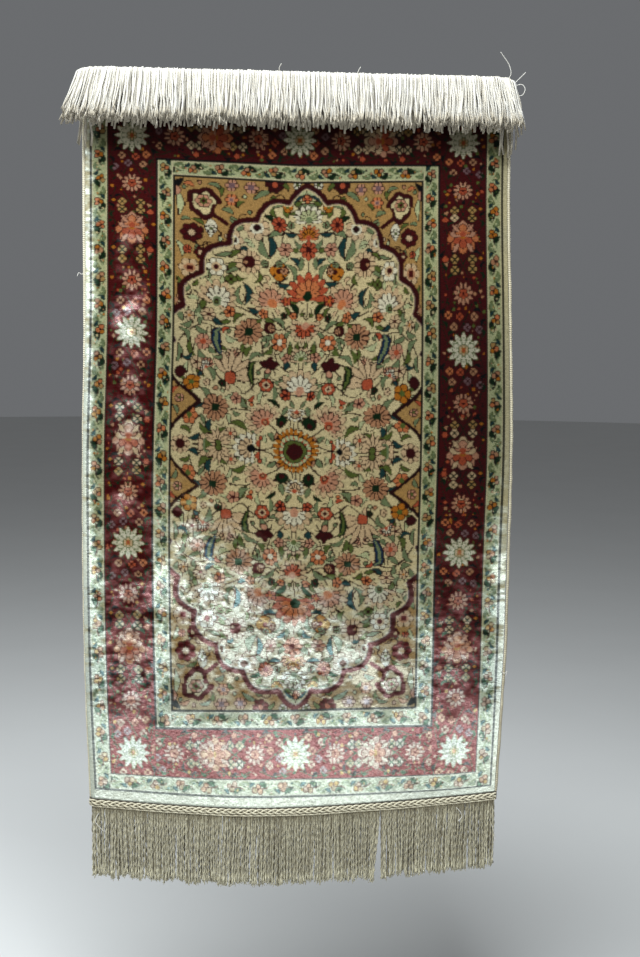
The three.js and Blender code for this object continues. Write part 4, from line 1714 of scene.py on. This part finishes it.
@dataclass
class ChainPlait:
    """Three yarns plaited along the foot header, between a dark and a pale cord."""

    cloth: HangingCloth
    stitches: int = 55
    swing: float = 3.2
    proud: float = 1.8
    lift: float = 0.7
    yarn: float = 1.35
    paleness: float = 0.25
    above_middle: float = 1.0
    cord_sunk: float = 0.3
    step: float = 1.8

    def build(self, plait: Material, dark: Material) -> None:
        """Builds the plait and the two cords."""
        half = self.cloth.header_half
        across = np.arange(-half, half, self.step)
        middle = self.cloth.foot_header_top + self.cloth.header_depth / 2 - self.above_middle
        turn = across / (2 * half) * self.stitches * 2 * math.pi / 3
        draft = Draft()
        phases = [turn + k * 2 * math.pi / 3 for k in range(3)]
        centres = np.stack([self.cloth.point(across, middle + self.swing * np.sin(phase),
                                             self.proud + self.lift * np.sin(2 * phase)) for phase in phases])
        sweep(draft, centres, np.full(centres.shape[:2], self.yarn), 6, np.full(3, self.paleness))
        put_on(draft.piece("chain_plait", plait), "fringe_yarn", "fringe_bottom")
        for name, place, radius, material in (("dark_cord", 0.3, 0.85, dark), ("pale_cord", 11.0, 1.2, plait)):
            cord = Draft()
            wave = 0.2 * np.sin(across / 3.1) + 0.25 * np.sin(across / 19)
            line = self.cloth.point(across, self.cloth.foot_header_top + place + wave, self.proud - self.cord_sunk)
            swell = radius * (1 + 0.10 * np.sin(across * 2.2))
            sweep(cord, line[None], swell[None], 6, np.full(1, self.paleness))
            put_on(cord.piece(name, material), "fringe_yarn", "fringe_bottom")


# Fringes

class Splay(NamedTuple):
    """How strands lean away from an edge or a parting: over what reach, and by how much."""

    reach: float
    opening: float

    def lean(self, distance: Array) -> Array:
        """Gives the lean at a distance, and none on the other side."""
        return np.where(distance >= 0, self.opening * np.exp(-np.abs(distance) / self.reach), 0.0)


def add_tips(tips: Draft, ends: Array, shade: float, rng: Random) -> None:
    """Adds two thin threads that spring from each strand's end.

    Args:
        tips: Mesh of the loose ends.
        ends: Where the strands end.
        shade: How pale the threads are.
        rng: Random source.
    """
    count = len(ends) * 2
    start = np.repeat(ends, 2, axis=0)[:, None]
    t = np.linspace(0, 1, 4)[None]
    reach = rng.uniform(4, 9, (count, 1))
    open_x = rng.normal(0, 1.5, (count, 1))
    open_y = rng.normal(0, 0.8, (count, 1))
    centres = np.stack([start[..., 0] + open_x * t ** 1.4, start[..., 1] + open_y * t, start[..., 2] - reach * t], -1)
    radii = np.broadcast_to(0.95 - 0.45 * t, centres.shape[:2])
    sweep(tips, centres, radii, 3, np.full(count, shade))


@dataclass
class FootFringe:
    """Warp ends that hang from the foot header, in layers from the front to the back."""

    cloth: HangingCloth
    layers: Sequence[tuple[int, int, float, float]] = ((185, 4, -1.1, 1.0), (190, 3, 0.7, 1.2), (125, 3, 1.9, 1.75))
    spread: float = 299.0
    length: float = 104.0
    rings: int = 22
    radius: float = 1.75
    tip_radius: float = 1.45
    pale_tips: float = 0.45
    tuft: float = 1.2
    crimp: float = 0.55
    unequal: float = 1.8
    twist_pitch: float = 15.0
    part_place: float = 128.0
    part_left: Splay = Splay(14, -9)
    part_right: Splay = Splay(10, 3)
    second_part: float = 78.0
    second_left: Splay = Splay(7, -1.6)
    second_right: Splay = Splay(7, 1.6)
    seed: int = 31

    def layer(self, draft: Draft, tips: Draft, count: int, sides: int, depth: float, fat: float,
              rng: Random) -> None:
        """Adds one layer of strands.

        Args:
            draft: Mesh of the strands.
            tips: Mesh of the loose ends.
            count: Number of strands.
            sides: Faces round each strand.
            depth: How far it stands behind the middle of the header.
            fat: How much thicker its strands are. Thicker back strands are painted darker, as painted shade.
            rng: Random source.
        """
        n = np.arange(count)
        across = -self.spread + 2 * self.spread * (n + 0.5) / count + rng.uniform(-0.9, 0.9, count)
        t = np.linspace(0, 1, self.rings)[None]
        end = self.cloth.foot_header_top + self.cloth.header_depth
        root = self.cloth.point(across, end - 2.4, 0.0)[:, None]
        gap = across - self.part_place
        lean = self.part_left.lean(-gap) + self.part_right.lean(gap)
        near = across - self.second_part
        lean = lean + self.second_left.lean(-near) + self.second_right.lean(near)
        bundle = 0.7 * np.sin(across / 5.3 + 2.0 * np.sin(across / 31))
        drift = 1.6 * np.sin(across / 47) + lean + bundle + rng.normal(0, 0.6, count)
        tuft = (-self.tuft * np.sin(across / 2.05 + 1.6 * np.sin(across / 29)))[:, None]
        long = self.length + rng.normal(0, self.unequal, count)
        long = long + 2.2 * np.sin(across / 6.3 + 2.2 * np.sin(across / 41))
        long = long + 5 * np.exp(-(((gap + 9) / 9) ** 2))
        wave = rng.uniform(6.5, 9.5, (count, 1))
        phase = rng.uniform(0, 2 * math.pi, (count, 1))
        run = long[:, None] * t
        fade = ease(t * 6)
        sway = self.crimp * fade * np.sin(2 * math.pi * run / wave + phase)
        roll = 0.35 * fade * np.cos(2 * math.pi * run / wave * 0.8 + phase * 1.7)
        wander = 0.9 * fade * np.sin(run / 23 + phase * 2.3)
        x = root[..., 0] + drift[:, None] * ease(t) ** 0.8 + tuft * t ** 1.8 + sway + wander
        y = root[..., 1] + depth * ease(t * 3) + roll + 0.5 * rng.normal(0, 1, (count, 1)) * t
        z = root[..., 2] - run
        centres = np.stack([x, y, z], -1)
        radii = fat * (self.radius + (self.tip_radius - self.radius) * t) + 0.06 * np.sin(run * 1.9 + phase)
        # Painted shade: the thicker back layers are darker, as shade between the strands
        shade = rng.uniform(-0.20, 0.16, (count, 1)) - 0.30 * (fat - 1) / 0.4
        shade = shade + self.pale_tips * ease((t - 0.78) / 0.2)
        sweep(draft, centres, radii, sides, shade, flat=0.72, twist=run * 2 * math.pi / self.twist_pitch + phase)
        add_tips(tips, centres[:, -2], 0.25, rng)

    def build(self, material: Material) -> None:
        """Builds the layers and their loose ends."""
        rng = np.random.default_rng(self.seed)
        strands, tips = Draft(), Draft()
        for layer in self.layers:
            self.layer(strands, tips, *layer, rng)
        put_on(strands.piece("foot_fringe", material), "fringe_yarn", "fringe_bottom")
        put_on(tips.piece("foot_fringe_ends", material), "fringe_yarn", "fringe_bottom")


@dataclass
class TopFringe:
    """Warp ends that rise from the top header, fold over it and fall in front of the pile, in layers."""

    cloth: HangingCloth
    counts: Sequence[int] = (262, 262, 160, 150)
    rings: Sequence[int] = (17, 15, 12, 12)
    at_left: Sequence[int] = (22, 18, 8, 6)
    at_right: Sequence[int] = (8, 6, 4, 3)
    end_reach: float = 42.0
    arches: Sequence[float] = (8.8, 8.1, 6.4, 4.2)
    leans: Sequence[float] = (12.0, 11.2, 8.5, 4.0)
    falls: Sequence[float] = (59.0, 63.0, 65.0, 67.0)
    fats: Sequence[float] = (1.0, 1.1, 1.4, 1.45)
    spread: float = 299.0
    sides: int = 3
    radius: float = 1.55
    corner_drop: float = 5.0
    splay_left: Splay = Splay(48, -30)
    splay_right: Splay = Splay(34, 22)
    long_left: float = 14.0
    long_right: float = 20.0
    long_extra: float = 30.0
    unequal: float = 3.8
    inmost_splay: float = 0.35
    root_depth: float = 2.4
    tipped: int = 2
    seed: int = 52

    def build(self, material: Material) -> None:
        """Builds the layers from the front to the back."""
        rng = np.random.default_rng(self.seed)
        draft, tips = Draft(), Draft()
        for level in range(len(self.arches)):
            self.layer(draft, tips, level, rng)
        put_on(draft.piece("top_fringe", material), "fringe_yarn", "fringe_top")
        put_on(tips.piece("top_fringe_ends", material), "fringe_yarn", "fringe_top")

    def layer(self, draft: Draft, tips: Draft, level: int, rng: Random) -> None:
        """Adds one layer of folded strands.

        Args:
            draft: Mesh of the strands.
            tips: Mesh of the loose ends.
            level: Number of the layer, 0 at the front.
            rng: Random source.
        """
        even = np.linspace(-self.spread, self.spread, self.counts[level]) + rng.uniform(-1.0, 1.0, self.counts[level])
        at_left = -self.spread + self.end_reach * rng.uniform(0, 1, self.at_left[level])
        at_right = self.spread - self.end_reach * rng.uniform(0, 1, self.at_right[level])
        across = np.concatenate([even, at_left, at_right])
        strands, rings = len(across), self.rings[level]
        arch = (self.arches[level] + rng.normal(0, 0.4, strands))[:, None]
        from_left, from_right = across + self.spread, self.spread - across
        splay = (self.splay_left.lean(from_left) + self.splay_right.lean(from_right))[:, None]
        edge = (from_left < self.long_left) | (from_right < self.long_right)
        inmost = level == len(self.arches) - 1
        fall = self.falls[level] + rng.normal(0, self.unequal, strands) + self.long_extra * edge * inmost
        splay = splay * (self.inmost_splay if inmost else 1.0)
        fall = fall[:, None]
        drop = (self.corner_drop * np.exp(-np.minimum(from_left, from_right) / 9))[:, None]
        exit_point = self.cloth.point(across, 0.0, 0.0)[:, None]
        arc_rings = rings // 2 - 1
        turn = np.linspace(0, math.pi, arc_rings)[None]
        t = np.linspace(0, 1, rings - arc_rings + 1)[None, 1:]
        phase = rng.uniform(0, 2 * math.pi, (strands, 1))
        drift = (1.4 * np.sin(across / 39 + level) + rng.normal(0, 2.2, strands))[:, None]
        clump = (1.0 * np.sin(across / 4.1 + 1.7 * np.sin(across / 43) + level))[:, None]
        run = fall * t
        sway = 1.5 * np.sin(run / 8.5 + phase) + 0.5 * np.sin(run / 4.2 + 2 * phase)
        x = np.hstack([exit_point[..., 0] + splay * turn / math.pi / 3,
                       exit_point[..., 0] + splay * (1 / 3 + 2 / 3 * t) + (drift + clump) * t ** 1.2 + sway * t])
        lift = 2.2 * np.sin(t * math.pi) ** 2 * rng.uniform(-0.3, 1, (strands, 1))
        y = np.hstack([exit_point[..., 1] - arch * (1 - np.cos(turn)),
                       exit_point[..., 1] - 2 * arch - self.leans[level] * t - lift
                       + 0.4 * np.cos(run / 5.1 + phase)])
        z = np.hstack([exit_point[..., 2] + (arch - drop) * np.sin(turn), exit_point[..., 2] - run])
        centres = np.stack([x, y, z], -1)
        root = self.cloth.point(across, self.root_depth, 0.0)[:, None]
        centres = np.concatenate([root, centres], 1)
        s = np.linspace(0, 1, centres.shape[1])[None]
        radii = self.fats[level] * self.radius * (1 - 0.26 * s) + 0.08 * np.sin(12 * s + phase)
        # Painted shade: deeper layers are darker, and the ends are darker partly for their browner yarn and partly as
        # painted shade
        shade = rng.uniform(-0.22, 0.12, (strands, 1)) - 0.06 * level - 0.9 * ease((s - 0.84) / 0.16)
        face_out = math.pi / 6 + rng.normal(0, 0.2, (strands, 1)) + 0.35 * np.sin(9 * s + 2 * phase)
        sweep(draft, centres, radii, self.sides, shade, twist=face_out)
        if level < self.tipped:
            # The loose ends are dark partly for their browner yarn and partly as painted shade
            add_tips(tips, centres[:, -2], -0.8, rng)


class Thread(NamedTuple):
    """A loose thread: its thickness and the places that it passes, x, y and z from the top edge's middle."""

    radius: float
    places: Sequence[Triple]


@dataclass(frozen=True)
class LooseThreads:
    """Single threads that strayed from the fringes and edges."""

    threads: Sequence[Thread] = (
        Thread(0.55, ((288, -16, 2), (294, -18, 12), (291, -19, 24), (283, -20, 35), (278, -21, 41))),
        Thread(0.5, ((296, -14, -6), (302, -16, 2), (309, -17, 9), (315, -18, 15))),
        Thread(0.5, ((300, -18, -4), (309, -20, -2), (314, -21, -8), (311, -21, -16), (305, -20, -18))),
        Thread(0.5, ((78, -12, 6), (80, -14, 12), (83, -15, 17))),
        Thread(0.5, ((-28, -10, 6), (-30, -12, 13), (-27, -14, 19))),
        Thread(0.45, ((-297, -4, -268), (-303, -7, -272), (-307, -8, -270), (-309, -9, -275))),
        Thread(0.45, ((302, -14, -842), (307, -16, -846), (311, -17, -843), (309, -17, -850))),
        Thread(0.5, ((-286, -12, -1048), (-291, -16, -1058), (-284, -17, -1068), (-278, -17, -1074))),
        Thread(0.5, ((240, -12, -1050), (246, -16, -1056), (249, -16, -1064), (243, -17, -1070))),
        Thread(0.5, ((291, -12, -1070), (296, -13, -1082), (300, -13, -1096), (298, -12, -1108))),
    )
    steps: int = 8

    def build(self, material: Material) -> None:
        """Builds every thread into one piece."""
        draft = Draft()
        for thread in self.threads:
            line = smooth_path(thread.places, self.steps)
            sweep(draft, line[None], np.full((1, len(line)), thread.radius), 5, np.full(1, 0.15))
        put_on(draft.piece("loose_threads", material), "fringe_yarn")


# The stage

class Tone(Enum):
    """Colours of the light."""

    DAYLIGHT = (0.90, 0.96, 1.0)
    ROOM = (0.86, 0.89, 0.93)


@dataclass(frozen=True)
class Studio:
    """Pale floor, soft lamp and the camera."""

    floor_drop: float = 1.42
    floor_reach: float = 14.0
    floor_corners: int = 96
    room: float = 0.17
    lens: float = 50.03
    sensor: float = 36.0
    camera_place: Triple = (-0.131, -1.900, -0.341)
    yaw: float = -4.94
    pitch: float = -6.52
    roll: float = -0.57
    lamp_place: Triple = (-0.60, -0.75, 1.45)
    lamp_target: Triple = (-0.1, 0.0, -0.7)
    lamp_size: tuple[float, float] = (2.2, 0.4)
    lamp_watts: float = 122.0

    def build(self) -> None:
        """Sets the floor, lamp, world and camera."""
        self.build_floor()
        self.build_lamp()
        world = bpy.data.worlds.new("room_light")
        world.use_nodes = True
        backdrop = world.node_tree.nodes["Background"].inputs
        backdrop[0].default_value, backdrop[1].default_value = (*Tone.ROOM.value, 1), self.room
        bpy.context.scene.world = world
        bpy.context.scene.view_settings.view_transform = "Standard"
        self.build_camera()

    def build_floor(self) -> None:
        """Lays a wide round floor below the fringe."""
        corners = self.floor_corners
        turn = np.linspace(0, 2 * math.pi, corners, endpoint=False)
        ring = np.stack([np.cos(turn), np.sin(turn), np.zeros(corners)], -1) * self.floor_reach / MM
        ring[:, 2] = -self.floor_drop / MM
        draft = Draft()
        draft.add(ring, [(np.arange(corners)[None], np.zeros((1, corners, 2)))], np.zeros(corners))
        draft.piece("floor", StagePaint().material())

    def build_lamp(self) -> None:
        """Hangs the one soft lamp."""
        light = bpy.data.lights.new("window_lamp", "AREA")
        light.shape = "RECTANGLE"
        light.size, light.size_y = self.lamp_size
        light.energy, light.color = self.lamp_watts, Tone.DAYLIGHT.value
        hung = bpy.data.objects.new("window_lamp", light)
        hung.location = self.lamp_place
        hung.rotation_euler = (Vector(self.lamp_target) - Vector(self.lamp_place)).to_track_quat("-Z", "Y").to_euler()
        hung.visible_camera = False
        link(hung)

    def build_camera(self) -> None:
        """Stands the camera where the rug is seen from."""
        turn = (Matrix.Rotation(math.radians(self.yaw), 3, "Z") @ Matrix.Rotation(math.radians(self.pitch), 3, "X")
                @ Matrix.Rotation(math.radians(self.roll), 3, "Y"))
        upright = Matrix.Rotation(math.radians(90), 3, "X")
        camera = bpy.data.cameras.new("viewer")
        camera.lens, camera.sensor_width = self.lens, self.sensor
        stand = bpy.data.objects.new("viewer", camera)
        stand.matrix_world = Matrix.Translation(self.camera_place) @ (turn @ upright).to_4x4()
        bpy.context.scene.camera = link(stand)


def main() -> None:
    """Builds the rug and its stage."""
    logging.basicConfig(level=logging.INFO, format="%(name)s: %(message)s")
    Studio().build()
    cloth = HangingCloth()
    KnottedSheet(cloth, RugChart()).build()
    edge_yarn = Yarn("overcast_yarn", (0.92, 0.89, 0.78), (0.58, 0.51, 0.38), plies=1, lay=3.0).material()
    fringe_yarn = Yarn("fringe_yarn", (0.86, 0.83, 0.71), (0.50, 0.46, 0.36)).material()
    top_yarn = Yarn("top_fringe_yarn", (0.90, 0.89, 0.86), (0.72, 0.68, 0.60), relief=0.35).material()
    dark_yarn = Yarn("dark_yarn", (0.30, 0.26, 0.20), (0.12, 0.10, 0.09)).material()
    for side in (-1, 1):
        Selvedge(cloth, side).build(edge_yarn)
    weave = PlainWeave("header_weave", (0.52, 0.48, 0.37)).material()
    Header(cloth, 0.0).build("top_header", weave, "fringe_top")
    Header(cloth, cloth.foot_header_top).build("foot_header", weave, "fringe_bottom")
    ChainPlait(cloth).build(edge_yarn, dark_yarn)
    FootFringe(cloth).build(fringe_yarn)
    TopFringe(cloth).build(top_yarn)
    LooseThreads().build(top_yarn)


if __name__ == "__main__":
    main()
